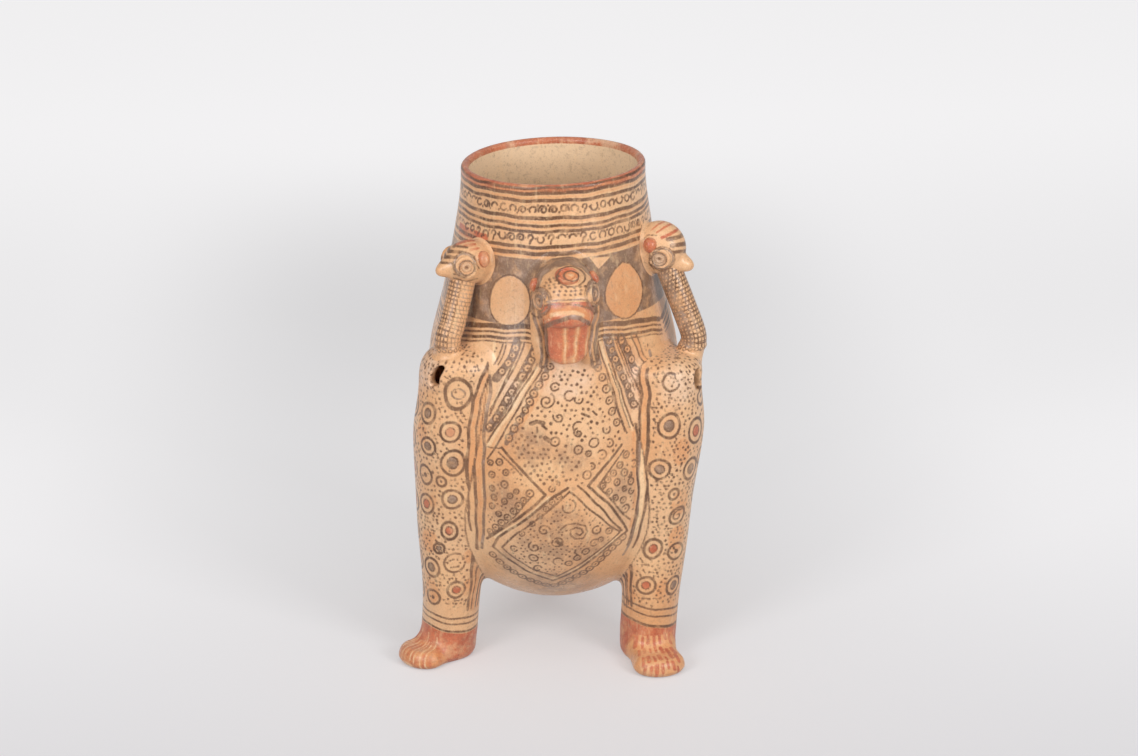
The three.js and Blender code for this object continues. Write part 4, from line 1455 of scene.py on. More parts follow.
CHAINS = [
    ([(-21.4, 224.6), (-22.8, 220), (-24.4, 214.8), (-26.9, 209)], 2.0),
    ([(-10.6, 226.6), (-12, 222.2), (-13.4, 218), (-15.1, 213.2), (-17.2, 208), (-19.4, 202.6),
      (-21.6, 197.2),
      (-23.6, 191.8), (-26.2, 185.4), (-28.6, 179), (-31.2, 173)], 2.2),
    ([(-4.8, 214.4), (-7.1, 208.2), (-9.4, 202.8), (-11.5, 197.4), (-13.5, 192.2), (-15.7, 186.4),
      (-18, 179.8),
      (-20, 173.6), (-22.2, 167.4)], 2.0),
    ([(24.4, 226.4), (25.6, 221), (27, 215.4), (28.6, 209.4), (30.2, 203), (31.9, 197), (33.2, 191),
      (34.5, 184.8)], 2.0),
    ([(31.2, 226.2), (34, 219.8), (35.8, 213.2), (37, 206.6)], 2.3),
    ([(17, 218), (17.8, 211.6), (19.3, 205.4), (21, 198), (22.2, 190.4), (23.6, 183), (25.3, 175.6)],
     2.1),
    ([(-12.8, 132.6), (-15.4, 127.6), (-17.6, 123.8), (-20, 120), (-22.8, 115.4), (-25.5, 110.9),
      (-28.3, 106.6), (-31.2, 102.6)], 2.0),
    ([(29.3, 153.4), (26.2, 147.9), (22.9, 143.5), (20, 139.8), (17.5, 136.2), (20.6, 131.6),
      (23.4, 127)], 1.9),
]
BAND_TINTS = (
    ("warm", [(-3.2, 213), (-8.6, 200), (-14.6, 184.6), (-20, 170), (-25, 160)], 3.4),
    ("pale", [(-11, 213), (-16.6, 199), (-22.6, 184), (-28, 171), (-32, 161)], 2.6),
    ("pale", [(-21.6, 213), (-26.6, 199), (-30.6, 187)], 2.2),
    ("pale", [(-32.6, 226), (-31.6, 214)], 2.4),
    ("warm", [(-36, 204), (-35.4, 190), (-35.6, 170), (-35.7, 140), (-35.6, 110), (-37.6, 94)], 3.2),
    ("warm", [(28, 229), (30.6, 218), (33, 208), (35.6, 198), (37.8, 189)], 3.0),
    ("warm", [(31.6, 226), (34.4, 219), (36.4, 209)], 8.0),
    ("warm", [(39.4, 227), (41.6, 217), (44, 207)], 3.2),
    ("pale", [(19, 229), (22, 216), (25.2, 203), (28.2, 190), (30.8, 178), (33, 168)], 2.0),
    ("pale", [(45.8, 206), (42.6, 198), (39.6, 188), (38, 177), (37, 165), (36.7, 150), (36.5, 120),
              (35.4, 100)], 2.8),
    ("warm", [(33.4, 168), (33, 150), (33, 125), (32, 104)], 2.6),
    ("dark", [(43.4, 186), (41.4, 176), (39.7, 162), (39.3, 150), (38.8, 130), (38, 105), (36.4, 86)],
     1.9),
    ("dark", [(34.9, 172), (34.6, 150), (34.8, 125), (33.4, 106), (32, 90)], 1.6),
    ("dark", [(-40.8, 160), (-40.6, 140), (-40.4, 118), (-41.4, 100)], 1.5),
    ("pale", [(-29, 99), (-21, 108), (-12, 119.5), (-4.6, 130.4)], 2.2),
    ("pale", [(-16.6, 74.6), (-3.6, 67), (8.4, 77), (25.6, 98)], 1.6),
)
# Smoky fire stains, placed low and in the middle of the belly, where they are also painted shade.
SMOKE_AND_SHADE_STAINS = (
    (-13, 164, 17, 1.0), (4, 156, 15, 0.8), (-4, 104, 27, 1.0), (12, 92, 18, 1.0), (-24, 124, 15, 1.5),
    (27, 128, 12, 1.8),
    (0, 62, 30, 0.7), (-25, 80, 14, 1.2),
)
# Painted highlights: pale milky patches on the upper belly.
PAINTED_HIGHLIGHTS = ((2, 208, 20, 0.9), (36, 196, 11, 2.4), (-22, 198, 12, 1.2))
LOZENGE = [(3.6, 134.6), (10.8, 123.4), (20.6, 109), (26.6, 101.4), (19, 91.6), (10, 81), (-1.6, 69.6),
           (-12, 75), (-20, 82.6),
           (-27, 91.6), (-18.6, 104.8), (-5.8, 120.6)]
LOZENGE_FRAME = [(2.8, 137), (-2.8, 131.2), (-8.4, 123.6), (-20.7, 108.2), (-27.4, 99.2), (-31.6, 90.6),
                 (-25, 83),
                 (-18, 75.4), (-10, 69.4), (-3, 65.4), (3, 70), (8, 75), (13.6, 82), (20, 89.4),
                 (25, 95.6), (30.3, 101.2)]
LOZENGE_RINGS = [
    (-32.6, 83.8), (-29.8, 78.8), (-26.8, 74.6), (-23.6, 71), (-19.9, 67.8), (-15.9, 65), (-11.9, 62.6),
    (-7.6, 60.6),
    (-2.6, 60), (2, 62.4), (5.6, 65.4), (9, 69), (12, 72.2), (14.7, 75.6), (17.2, 79), (19.6, 82.6),
    (22, 86.2),
    (24.2, 89.8), (26.4, 93.4), (28.6, 97),
]
SPIRALS = [
    ((-6, 192.6), 5.4, 60, -560), ((-0.9, 182.3), 3.6, 160, 430), ((4, 195.7), 3.2, 60, 280),
    ((8.4, 193.4), 2.7, 150, 220),
    ((7.4, 171.7), 3.1, 100, 500), ((7.6, 175.4), 3.6, 60, 150), ((20.2, 172.4), 2.7, 150, 240),
    ((14.2, 165), 3.2, 200, -340),
    ((21.4, 163.6), 2.6, 120, -250), ((7.5, 161), 2.8, 0, 370), ((12, 158.2), 1.9, 40, 330),
    ((17.8, 156.7), 3.0, 150, -270),
    ((13.2, 149.4), 2.2, 110, -200), ((11, 144), 2.8, 0, 350), ((-2.3, 167.3), 2.8, 0, 370),
    ((-2.4, 201.4), 2.6, 20, 310),
    ((-3.7, 136.4), 2.1, 120, 280), ((-2, 139.6), 1.9, 100, -130), ((-7.2, 107.4), 4.1, 20, 470),
    ((-11.3, 95), 4.4, 120, 440),
    ((-1.4, 98.8), 3.6, 120, -330), ((-12.5, 86.3), 2.9, 0, 360), ((3.4, 124.6), 4.4, 60, -250),
    ((15.4, 105.8), 2.9, 60, 320),
    ((21, 104), 2.3, 0, 370), ((11.5, 90.6), 2.5, 0, 360), ((8, 86), 2.4, 40, 320),
    ((4, 81.6), 2.4, 0, 360),
    ((14.6, 96.6), 2.6, 60, 250), ((-1.2, 83), 3.4, 20, 220), ((-11, 77.6), 2.6, 0, 300),
    ((-21, 92.6), 2.4, 40, 300),
    ((-29.6, 142.7), 2.2, 0, 360), ((-23.5, 137.6), 2.4, 0, 370), ((-29.2, 133.4), 1.9, 0, 360),
    ((-18.6, 133.4), 1.7, 0, 360),
    ((-28.7, 127.5), 2.0, 0, 360), ((-24, 126.4), 2.1, 0, 360), ((-21.4, 130.4), 1.9, 0, 360),
    ((-29.8, 121.4), 2.0, 0, 360),
    ((-26.6, 117), 1.9, 0, 360), ((-26.4, 151.6), 2.2, 0, 360), ((-30.4, 150.6), 1.9, 0, 330),
    ((-23.4, 145.4), 2.0, 0, 360),
    ((33, 146.6), 2.4, 120, -260), ((28, 142.4), 2.4, 0, 370), ((30.8, 140.2), 1.6, 60, -200),
    ((24.2, 137), 2.3, 0, 360),
    ((31.2, 135.6), 2.3, 0, 340), ((31, 129), 2.0, 100, 260), ((27, 124.6), 2.2, 0, 360),
    ((28.6, 118), 2.8, 140, -260),
    ((27.8, 132), 1.7, 40, 300),
]
INNER_RINGS = [(-0.6, 131), (-3.5, 127.4), (-6.2, 122.6), (-8.9, 117.4), (-12.1, 112.2), (-16.4, 105),
               (17.4, 98.4)]
BIG_SPIRAL = [(-0.5, 108.5), (2, 112), (6, 112.8), (10, 110.6), (11.3, 106), (9.5, 101.6), (6, 101.6),
              (3.8, 104.6),
              (3.7, 108), (6, 109.9), (8.6, 108.6), (9.3, 106), (8, 104), (6.3, 105.6)]
BLOTS = [([(-13, 178.4), (-10.4, 180.2), (-7.6, 179)], 2.6), ([(-8.2, 177.6), (-6.4, 175)], 1.7),
         ([(-10.4, 176.6), (-10.2, 173)], 1.3), ([(-6.4, 169.6), (-5, 168)], 3.0),
         ([(9.4, 184), (12.8, 182)], 1.6),
         ([(14.4, 185.4), (16.2, 183)], 1.4), ([(6.6, 93), (6.4, 90.6), (8, 88.8)], 1.2),
         ([(-1.6, 99.6), (0.4, 97)], 2.6)]
DOTTED_REGIONS = (
    [(0, 213), (-6, 205), (-23, 163), (-6, 134), (3, 139), (11, 137), (28, 163), (24, 190), (16, 213)],
    [(-31.5, 157), (-25.5, 157), (-10, 134), (-31.5, 105)],
    [(33, 157), (27.4, 154), (15.6, 136.5), (33, 112)],
    LOZENGE,
    [(-32.4, 226), (-28.8, 226), (-31.6, 216)],
    [(42, 225), (50, 225), (47.5, 207)],
)
RING_ROWS = ((LOZENGE_RINGS, 2.5, 1.2, 0.8), (INNER_RINGS, 1.8, 0.9, 0.6))
DESIGNS = ((0, 1.0, 100, 0.9), (127, 0.93, 200, 1.2), (-127, 0.93, 300, 1.2))
print(len(SPIRALS), "spirals,", len(CHAINS), "chains and", len(DOTTED_REGIONS), "regions of dots")

# %% [markdown]
# A chain is painted ring by ring into the grey band that carries it. The dots come last, like the
# potter's: they fill whatever ground is still free, at about even spacing, and keep clear of every
# stroke.

# %% Belly design
DOT_SCATTER = 0.16


def chain(sheet, spots, radius, seed):
    """A chain of cream rings, each with a dot, cut into the grey band that carries it."""
    random = np.random.default_rng(seed)
    for place in spots:
        size = radius * random.uniform(1.0, 1.18)
        sheet.disc("grey", place, size, scrape=True)
        sheet.ring("dark", place, size, 1.1)
        sheet.disc("dark", (place[0] + random.uniform(-0.2, 0.2), place[1]), 0.75)


def scatter(sheet, radius, spacing, across, up, allowed, seed, room=None):
    """Dots at about even spacing wherever the surface is free and allowed."""
    random = np.random.default_rng(seed)
    room = room or radius + 0.9
    middle = np.median(sheet.scale)
    for row, level in enumerate(np.arange(up[0], up[1], spacing * 0.86)):
        for place in np.arange(across[0], across[1], spacing / middle):
            nudge = random.normal(0, DOT_SCATTER)
            spot_at = place + (row % 2) * spacing / middle / 2 + nudge * spacing / middle
            lift = level + random.normal(0, DOT_SCATTER) * spacing
            if allowed(spot_at, lift) and sheet.clear((spot_at, lift), room):
                sheet.disc("dark", (spot_at, lift), radius * random.uniform(0.75, 1.15),
                           random.uniform(0.85, 1.2))


def within_outline(outline, place, level):
    outline = np.array(outline)
    x, y = outline.T
    nx, ny = np.roll(x, -1), np.roll(y, -1)
    rise = np.where(ny == y, 1e-9, ny - y)
    crossing = ((y > level) != (ny > level)) & (place < (nx - x) * (level - y) / rise + x)
    return crossing.sum() % 2 == 1


def belly_design(middle, squeeze, seed, dot):
    """The design round a middle turn; the squeeze fits it between two legs."""
    def at(points):
        return [(middle + place * squeeze, level) for place, level in points]

    for bands in (LEFT_BANDS, RIGHT_BANDS):
        for layer, strokes in bands.items():
            for points, width in strokes:
                WALL.line(layer, at(points), width)
    for layer, points, width in BAND_TINTS:
        WALL.line(layer, at(points), width)
    # Soft discs: smoky stains that are also painted shade, and painted highlights.
    for layer, stains in (("smoke", SMOKE_AND_SHADE_STAINS), ("haze", PAINTED_HIGHLIGHTS)):
        for place, level, size, squash in stains:
            WALL.disc(layer, (middle + place * squeeze, level), size, squash)
    for number, (spots, radius) in enumerate(CHAINS):
        chain(WALL, at(spots), radius, seed + number)
    inset = at(LOZENGE)
    WALL.line("dark", at(LOZENGE_FRAME), 1.8)
    WALL.line("dark", [*inset, inset[0]], 1.3)
    WALL.line("dark", at(BIG_SPIRAL), 1.2)
    for points, width in BLOTS:
        WALL.line("dark", at(points), width)
    for spots, radius, width, dot_radius in RING_ROWS:
        for place in at(spots):
            WALL.ring("dark", place, radius, width)
            WALL.disc("dark", place, dot_radius)
    for (place, level), radius, start, sweep_angle in SPIRALS:
        inner = 0.15 if abs(sweep_angle) > 400 else 0.92
        WALL.figure("dark", (middle + place * squeeze, level),
                    spiral(radius, start, sweep_angle, inner), 1.2)
        if inner > 0.5 and radius < 3.1:
            WALL.disc("dark", (middle + place * squeeze, level), 0.65)
    for number, outline in enumerate(DOTTED_REGIONS):
        region = at(outline)
        low, high = np.min(region, 0), np.max(region, 0)
        spacing, size = (3.2, dot * 1.08) if number == 0 else (2.5, dot * 0.8)
        allowed = partial(within_outline, region)
        scatter(WALL, size, spacing, (low[0], high[0]), (low[1], high[1]), allowed, seed + 40 + number)


for middle, squeeze, seed, dot in DESIGNS:
    belly_design(middle, squeeze, seed, dot)
print("belly painted")

# %% [markdown]
# The legs carry rosettes, like a spotted hide, with dots between them. Border lines follow the
# crease beside the belly, and three lines ring each ankle above the red foot. The front of each leg
# follows the photograph. Round the sides and behind, the rosettes go on in the same rhythm.

# %% Leg painting
ROSETTES = {
    "left": [
        (-3, 195.5, 8.4, "ring"), (-45, 180.5, 5.8, "spot"), (-10.5, 170.5, 6.6, "spot"),
        (-42, 158, 5.6, "spot"),
        (-6, 149, 7.4, "spot"), (-49, 137, 5.6, "dot"), (-6, 122.5, 6.4, "spot"),
        (-48, 116, 6.0, "spot"),
        (-9, 98.5, 5.4, "spot"), (3, 74.5, 6.8, "open"), (-42, 70, 6.0, "spot"), (7, 54.5, 5.6, "spot"),
        (-38, 48, 5.0, "dot"), (-26, 85, 3.6, "spot"), (-22, 134.5, 3.4, "dot"),
    ],
    "right": [
        (8, 199, 5.4, "open"), (8, 170.5, 7.2, "spot"), (52, 163.5, 7.0, "spot"),
        (-2, 141.5, 6.6, "spot"),
        (48, 137.5, 6.2, "spot"), (78, 117.5, 6.0, "spot"), (32, 106.5, 5.8, "spiral"),
        (-5.5, 83.5, 5.8, "spot"),
        (38, 80, 5.8, "dot"), (-15, 57, 6.0, "spot"), (42, 54, 5.8, "spot"), (20, 123, 3.6, "dot"),
        (66, 185, 5.0, "dot"), (74, 143, 5.4, "dot"),
    ],
    "rear": [],
}
BORDERS = {
    "left": [(53, 218), (30, 204), (19, 190), (14, 171), (12, 145), (20, 122), (30, 90), (38, 59),
             (36, 37)],
    "right": [(-30, 207), (-22, 190), (-19.5, 165), (-20, 147), (-20, 120), (-23, 104), (-38, 85),
              (-47, 58), (-44, 40)],
    "rear": [],
}
ANKLES = {
    "left": ((33.8, 29.6, 24.0), 3.0, -12, (1.5, 1.4, 1.6)),
    "right": ((39.2, 34.0, 26.8), 4.1, 9.5, (1.5, 1.4, 2.0)),
    "rear": ((34.0, 29.5, 24.5), 1.5, 180, (1.5, 1.4, 1.6)),
}
BORDER_LINES = (("warm", 5, 3.0), ("warm", 16, 3.6), ("pale", 21, 1.2), ("dark", 0, 2.2),
                ("dark", 10, 1.3))
SHANK = [(64, 96), (70, 80), (74, 60), (72, 37)]
SHANK_LINES = (("dark", -12, 1.5), ("warm", -5, 3.2), ("dark", 0, 1.8), ("pale", 9, 2.0),
               ("dark", 16, 1.4))
SIDE_COLUMNS = {"left": (-84, -120), "right": (112, 148), "rear": (180, 140, -140, 100, -100)}
# A painted highlight near the top of each leg.
LEG_PAINTED_HIGHLIGHTS = {"left": (-60, 208), "right": (20, 196), "rear": (180, 205)}


def rosette(sheet, place, level, radius, kind, random):
    squash = random.uniform(1.0, 1.2)
    if kind == "open":
        sheet.figure("dark", (place, level), arc(radius, 60, 340, squash, 20), 1.6)
        return
    sheet.ring("dark", (place, level), radius, 2.3 if kind == "ring" else 1.8, squash)
    if kind == "spiral":
        sheet.figure("dark", (place, level), spiral(radius * 0.75, 60, 420), 1.3)
    elif kind == "ring":
        sheet.ring("grey", (place, level), radius * 0.5, 1.3, 0.8)
    elif kind == "dot":
        sheet.disc("dark", (place, level), radius * 0.26, 1.2)
    else:
        sheet.disc("red" if random.random() < 0.45 else "grey", (place, level), radius * 0.5, squash)
        sheet.ring("dark", (place, level), radius * 0.46, 0.9, squash)


def border_angle(side, level):
    edge = np.array(BORDERS[side][::-1])
    return float(np.interp(level, edge[:, 1], edge[:, 0]))


def ankle_lines(side, sheet):
    """Three lines round the ankle, and the red below them."""
    levels, swing, centre, widths = ANKLES[side]
    angles = np.arange(-180, 181, 12.0)
    for level, width in zip(levels, widths):
        path = np.stack([angles, level - swing * np.sin(np.radians(angles - centre))], 1)
        for start in range(0, len(path) - 1, 6):
            sheet.line("dark", path[start : start + 7], width)
    red_top = levels[2] - swing * np.sin(np.radians(sheet.across - centre)) - 1.2
    sheet.lay("red", np.arange(len(sheet.index)), sheet.up - red_top)


def border_lines(side, sheet):
    """The lines beside a front leg's crease with the belly, those on its shank, and the crease."""
    outward = 1 if side == "left" else -1
    for layer, gap, width in BORDER_LINES:
        sheet.line(layer, [(place + gap * outward, at) for place, at in BORDERS[side]], width)
    for layer, gap, width in SHANK_LINES:
        sheet.line(layer, [((place + gap) * outward, at) for place, at in SHANK], width)
    crease = np.abs(LEG_GAP[side] - JAR_GAP) / 1.4 - 0.35
    beside = (ALL[:, 2] > 52) & (ALL[:, 2] < 210) & (np.abs(turn) < 50) & ~on_heads
    beside = beside & (np.sign(turn) == np.sign(LEGS[side]["hip"][0]))
    LAYERS["dark"] = np.minimum(LAYERS["dark"], np.where(beside, crease, NONE))


def dotted(side, place, level):
    """Whether a place on a leg is ground for the small dots."""
    if level < 42 or level > HIP_HEIGHT + LEGS[side]["dome"] - 4:
        return False
    if side == "left":
        return -150 < place < border_angle(side, level) - 5
    return side == "rear" or border_angle(side, level) + 5 < place < 160


def dot_crown(side):
    """Dots on the rounded top of a leg, on a chart seen from above."""
    top = HIP_HEIGHT + LEGS[side]["dome"]
    index = rows_of(f"{side}_leg_skin")
    index = index[(ALL[index, 2] > top - 6) & (JAR_GAP[index] > 2) & (LEG_GAP[side][index] > -2.5)]
    crown = Sheet(index, ALL[index, 0], ALL[index, 1], np.ones(len(index)))
    low, high = ALL[index].min(0), ALL[index].max(0)
    everywhere = lambda place, level: True
    scatter(crown, 0.9, 3.2, (low[0], high[0]), (low[1], high[1]), everywhere, 60 + len(side), 1.5)


for side, sheet in LEG_SHEETS.items():
    random = np.random.default_rng(len(side) * 7)
    ankle_lines(side, sheet)
    if BORDERS[side]:
        border_lines(side, sheet)
    for place, level, radius, kind in ROSETTES[side]:
        rosette(sheet, place, level, radius, kind, random)
    for number, column in enumerate(SIDE_COLUMNS[side]):
        for level in np.arange(48 + 11 * (number % 2), 200 - 8 * (number % 2), 22):
            if sheet.clear((column, level), 6.5):
                lifted = level + random.uniform(-1.5, 1.5)
                rosette(sheet, column, lifted, random.uniform(5, 6.4), "spot", random)
    scatter(sheet, 0.9, 3.1, (-180, 180), (42, 218), partial(dotted, side), 5 + len(side), 1.5)
    # The painted highlight near the top of the leg.
    sheet.disc("haze", LEG_PAINTED_HIGHLIGHTS[side], 15)
    for level in np.arange(50, 190, 36):
        for place in np.arange(-170, 180, 66):
            place = (place + random.uniform(-20, 20), level + random.uniform(-9, 9))
            sheet.disc("warm", place, random.uniform(3, 7), 1.4)
    dot_crown(side)
print("legs painted")

# %% [markdown]
# The feet are red with streaks of the cream ground left between the toes. Each foot is a piece of
# its own, cut from the leg at the ankle, and its chart runs ahead from the heel to the toes.

# %% Feet
TOE_STREAKS = (-14, -10.5, -6.6, -2.2, 2.4, 6, 10.4, 14)

for side, leg in LEGS.items():
    index = rows_of(f"{side}_foot_skin")
    across, depth, rise = local(ALL[index], leg_centre(leg, 0.0), leg["foot_turn"]).T
    foot = Sheet(index, across, 0.6 * (ANKLE_HEIGHT - rise) - depth, np.ones(len(index)))
    length = leg["foot_length"]
    random = np.random.default_rng(31 + len(side))
    LAYERS["red"][index] = -NONE
    if side == "right":
        foot.area("red", [(-16, 15), (17, 18), (19, length + 14), (-19, length + 14)], scrape=True)
        foot.area("warm", [(-17, 13), (17, 16), (19, length + 14), (-19, length + 14)])
        for toe in np.arange(-14, 15, 4.4):
            for start in np.arange(15, length + 6, 10.0):
                start = start + random.uniform(0, 4)
                streak = [(toe * 0.8, start), (toe * 0.9, start + random.uniform(4, 8))]
                foot.line("red", streak, random.uniform(1.6, 3.0))
                foot.line("warm", streak, 3.2, scrape=True)
    else:
        foot.area("warm", [(-18, 24), (18, 26), (20, length + 20), (-20, length + 20)])
        for toe in TOE_STREAKS:
            start = random.uniform(17, 27)
            streak = [(toe * 0.6, start), (toe + random.uniform(-0.6, 0.6), length + 8)]
            foot.line("pale", streak, random.uniform(0.6, 1.1))
            streak = [(toe * 0.6 + 2, start), (toe + 2, length + 6)]
            foot.line("warm", streak, random.uniform(0.8, 1.4), scrape=True)
        tips = [(-20, length + 9.5), (20, length + 9.5), (20, length + 20), (-20, length + 20)]
        foot.area("pale", tips)
print("feet painted")

# %% [markdown]
# The feline's face and the birds' heads are painted as the viewer sees them: their chart is the
# view plane of the photograph, with its origin at the middle of each head. Corners on a bird's far
# side take the paint of their mirror image, because both sides of such a head are painted alike.

# %% Feline face
VIEW_TURN = math.degrees(CAMERA_TURN)


def view_chart(points, origin):
    """Millimetres to the right and up from an origin, as the camera sees them."""
    seen = local(points, origin, VIEW_TURN)
    return seen[:, 0], seen[:, 2] * math.cos(CAMERA_PITCH) + seen[:, 1] * math.sin(CAMERA_PITCH)


def view_sheet(index, points, origin):
    across, up = view_chart(points, origin)
    wobble = 0.25 * np.sin(up / 2.3 + across / 5), 0.25 * np.sin(across / 2.6 - up / 6)
    return Sheet(index, across + wobble[0], up + wobble[1], np.ones(len(index)))


def face_sheet(index):
    return view_sheet(index, ALL[index], FELINE_PLACE)


index = rows_of("feline_head_skin", "feline_muzzle_skin", "feline_jaw_skin", "forehead_boss_skin")
FACE = face_sheet(index[~on_wall[index]])
FACE.line("grey", [(-19, 4), (-15.5, 12), (-8, 17.6), (2.9, 19.6), (12, 17.6), (18, 11.5), (21, 5)],
          6.5)
FACE.line("dark", [(-12, -6.2), (-8.8, -6.2), (1.9, -4.9), (12.7, -5.2), (15.5, -7)], 1.0)
FACE.line("dark", [(-13, -8.6), (-9.3, -8.1), (2.9, -7.6), (15.1, -10.1), (18, -13)], 1.2)
for dots, level, tilt in (
    ((-4.2, -0.4, 3.2, 6.3, 9.6), -2.2, 0.05), ((-7, -3.4, 0.6, 3.8, 6.6, 9.9), 0.1, 0.06),
    ((-9.6, -6, -2, 1.9, 5.6, 9.2, 12.2), 2.6, 0.04), ((-12.6, -9.8, -6.6, -3.4), 5.2, 0.12),
    ((-11.4, -8.6, -5.4), 7.8, 0.2), ((-9.2, -6.4, -4.2), 10.4, 0.3), ((12.4, 12.8), 5.4, 0.9),
    ((-14, -12.4), 2.2, 0.4),
):
    for place in dots:
        FACE.disc("dark", (place, level + tilt * place), 0.95, 0.85)
for at, radius, squash in (((-15.4, -6.2), 6.0, 1.25), ((18.4, -2.2), 5.0, 1.6)):
    FACE.ring("grey", at, radius, 1.2, squash)
    FACE.ring("dark", at, radius + 1.1, 0.8, squash)
FACE.area("red", [(-15, -10.5), (-9, -8.9), (3, -8.2), (14, -10.6), (17.5, -14.5), (16, -20.4),
                  (9, -18.2), (3, -17.6), (-4, -19.4), (-12.5, -20.4)])
# Painted highlight: the pale strokes on the muzzle's top, over a wide orange stroke.
FACE.line("warm", [(-12, -14.6), (-6, -12.6), (3, -11.8), (10, -12.6), (14, -15.6)], 5.0)
FACE.line("pale", [(-8.6, -14.4), (-2, -12.8), (5.6, -12.8), (11, -14.6)], 2.2)
FACE.line("pale", [(-3, -16.6), (1.6, -15), (6.4, -15.2)], 1.1)
FACE.line("pale", [(-12.4, -18.4), (-9, -16.8)], 1.0)
FACE.line("red", [(-12, -10.6), (-5, -9.6), (4, -9.2), (13, -11.2)], 1.6)
FACE.line("grey", [(-11.5, -21), (-6.5, -18.6), (0.5, -16.4), (3.4, -15.8), (8.8, -16.2),
                     (14.8, -19)], 2.8)
JAW = face_sheet(rows_of("feline_jaw_skin"))
for top, foot, width in (((0.2, -20.9), (-0.2, -43), 1.9), ((7.9, -21.3), (5.6, -42.5), 1.8),
                         ((14.5, -21.8), (12.4, -39), 1.2)):
    JAW.line("pale", [top, foot], width * 0.72)
    JAW.line("warm", [top, foot], width * 1.7)
JAW.line("dark", [(-11.4, -21), (-11, -30), (-9.6, -41), (-6, -45.4), (1, -46.6), (9, -44.6),
                  (14.6, -40.4), (15.8, -30), (16.6, -21)], 0.9)
for side_path in (
    [(-18.6, -6), (-17.4, -14), (-15.9, -19), (-13.4, -28), (-12.5, -36), (-13.5, -44)],
    [(21, -8), (20.2, -16), (18.2, -23), (17, -31), (17.2, -38), (18.6, -44)],
):
    for sheet in (FACE, face_sheet(WALL.index)):
        sheet.line("grey", side_path, 5.2)
        sheet.line("grey", side_path, 1.2, scrape=True)
for owner in OWNERS:
    if {"muzzle", "jaw", "boss", "ear", "knob"} & set(owner.split("_")):
        LAYERS["red"][rows_of(owner)] = -NONE
BOSS = face_sheet(rows_of("forehead_boss_skin"))
BOSS.disc("warm", (3.7, 9.4), 4.2, 0.62)
BOSS.disc("pale", (3.4, 9.8), 1.5, 0.6)
BOSS.ring("dark", (3.7, 9.4), 4.6, 1.3, 0.66)
FACE.ring("dark", (3.7, 9.2), 8.6, 1.3, 0.72)
print("face painted")

# %% [markdown]
# A bird's head has a few broad feather strokes and a ringed eye. Its neck wears a net of dark lines
# round small free squares. Where the neck shines, the net is grey instead: a painted highlight. A
# row of rings marks its foot.

# %% Bird painting
BIRD_PAINT = {
    "left": {
        "dark": [
            ([(-12.6, 9.4), (-6.4, 9.6), (-0.4, 8.2)], 1.6),
            ([(-15.6, 6.0), (-9.8, 6.4), (-3.4, 5.4)], 2.2),
            ([(-17.0, 2.6), (-11.6, 3.0), (-7.0, 2.0)], 2.2),
            ([(-17.6, -0.6), (-13, -0.8), (-9.4, -1.6)], 1.6),
            ([(-8.8, -10.4), (-1, -12.2), (6.1, -10.7)], 0.9),
            ([(-8.6, -8), (-1, -10), (4.9, -6.2)], 0.9), ([(4.6, 4), (5.2, -1), (7, -4.4)], 0.9),
        ],
        "red": [([(-8, 10.4), (-3, 12.2), (3.7, 13.2)], 1.9), ([(-2.6, 9), (4.4, 10.4)], 1.9),
                ([(2, 7), (6.4, 8.4)], 1.5)],
        "eye": (-1.7, -2.0),
    },
    "right": {
        "dark": [
            ([(4.6, 4.4), (9.6, 5.4), (15.9, 7.6)], 2.8), ([(7.0, 0.4), (12, 0.8), (18.4, 2.4)], 2.8),
            ([(8.2, -4.0), (13, -3.4), (18.8, -2.0)], 2.2), ([(-6.7, -3.6), (-7, -11), (-4, -14)], 1.0),
            ([(1, -16.4), (8, -17)], 1.0), ([(-10.6, 4.6), (-8, 7.4), (-2.4, 6.4)], 0.8),
        ],
        "red": [([(0.6, 5.0), (5, 7.4), (10, 10.4)], 2.0), ([(-2.6, 8.3), (2, 11.6), (7, 14.2)], 1.3),
                ([(-6, 10.4), (-2, 13.6), (2.4, 15.4)], 1.1)],
        "eye": (1.3, -7.7),
    },
}
SQUARE_TURN, SQUARE_LENGTH, SQUARE_HALF = 17.143, 2.6, 0.76
# The turns round each neck where the net is painted grey, as a painted highlight.
NECK_HIGHLIGHT_SIDES = {"left": (2, 75), "right": (-85, -2)}


def paint_head(side, bird):
    """The strokes of a bird's head, the same on the side turned away."""
    index = rows_of(f"{side}_bird_head_skin", f"{side}_beak_skin")
    here = head_local(bird, ALL[index])
    here[:, 0] = front_sign(bird) * np.abs(here[:, 0])
    mirrored = here @ spin(bird["facing"]).T + head_centre(bird)
    sheet = view_sheet(index, mirrored, head_centre(bird))
    paint = BIRD_PAINT[side]
    for layer in ("dark", "red"):
        for path, width in paint[layer]:
            sheet.line(layer, path, width)
    sheet.ring("dark", paint["eye"], 7.3, 0.8)
    sheet.ring("grey", paint["eye"], 6.3, 1.3)


def neck_chart(bird, points):
    """The angle round a neck in degrees, and the length along it."""
    path = neck_path(bird)
    lengths = np.concatenate([[0], np.cumsum(np.linalg.norm(np.diff(path, axis=0), axis=1))])
    nearest = np.linalg.norm(points[:, None] - path[None], axis=2).argmin(1)
    ahead = path[np.minimum(nearest + 1, len(path) - 1)] - path[np.maximum(nearest - 1, 0)]
    ahead = ahead / np.linalg.norm(ahead, axis=1)[:, None]
    offset = points - path[nearest]
    seen = local(offset, np.zeros(3), VIEW_TURN)
    return np.degrees(np.arctan2(seen[:, 0], -seen[:, 1])), lengths[nearest] + (offset * ahead).sum(1)


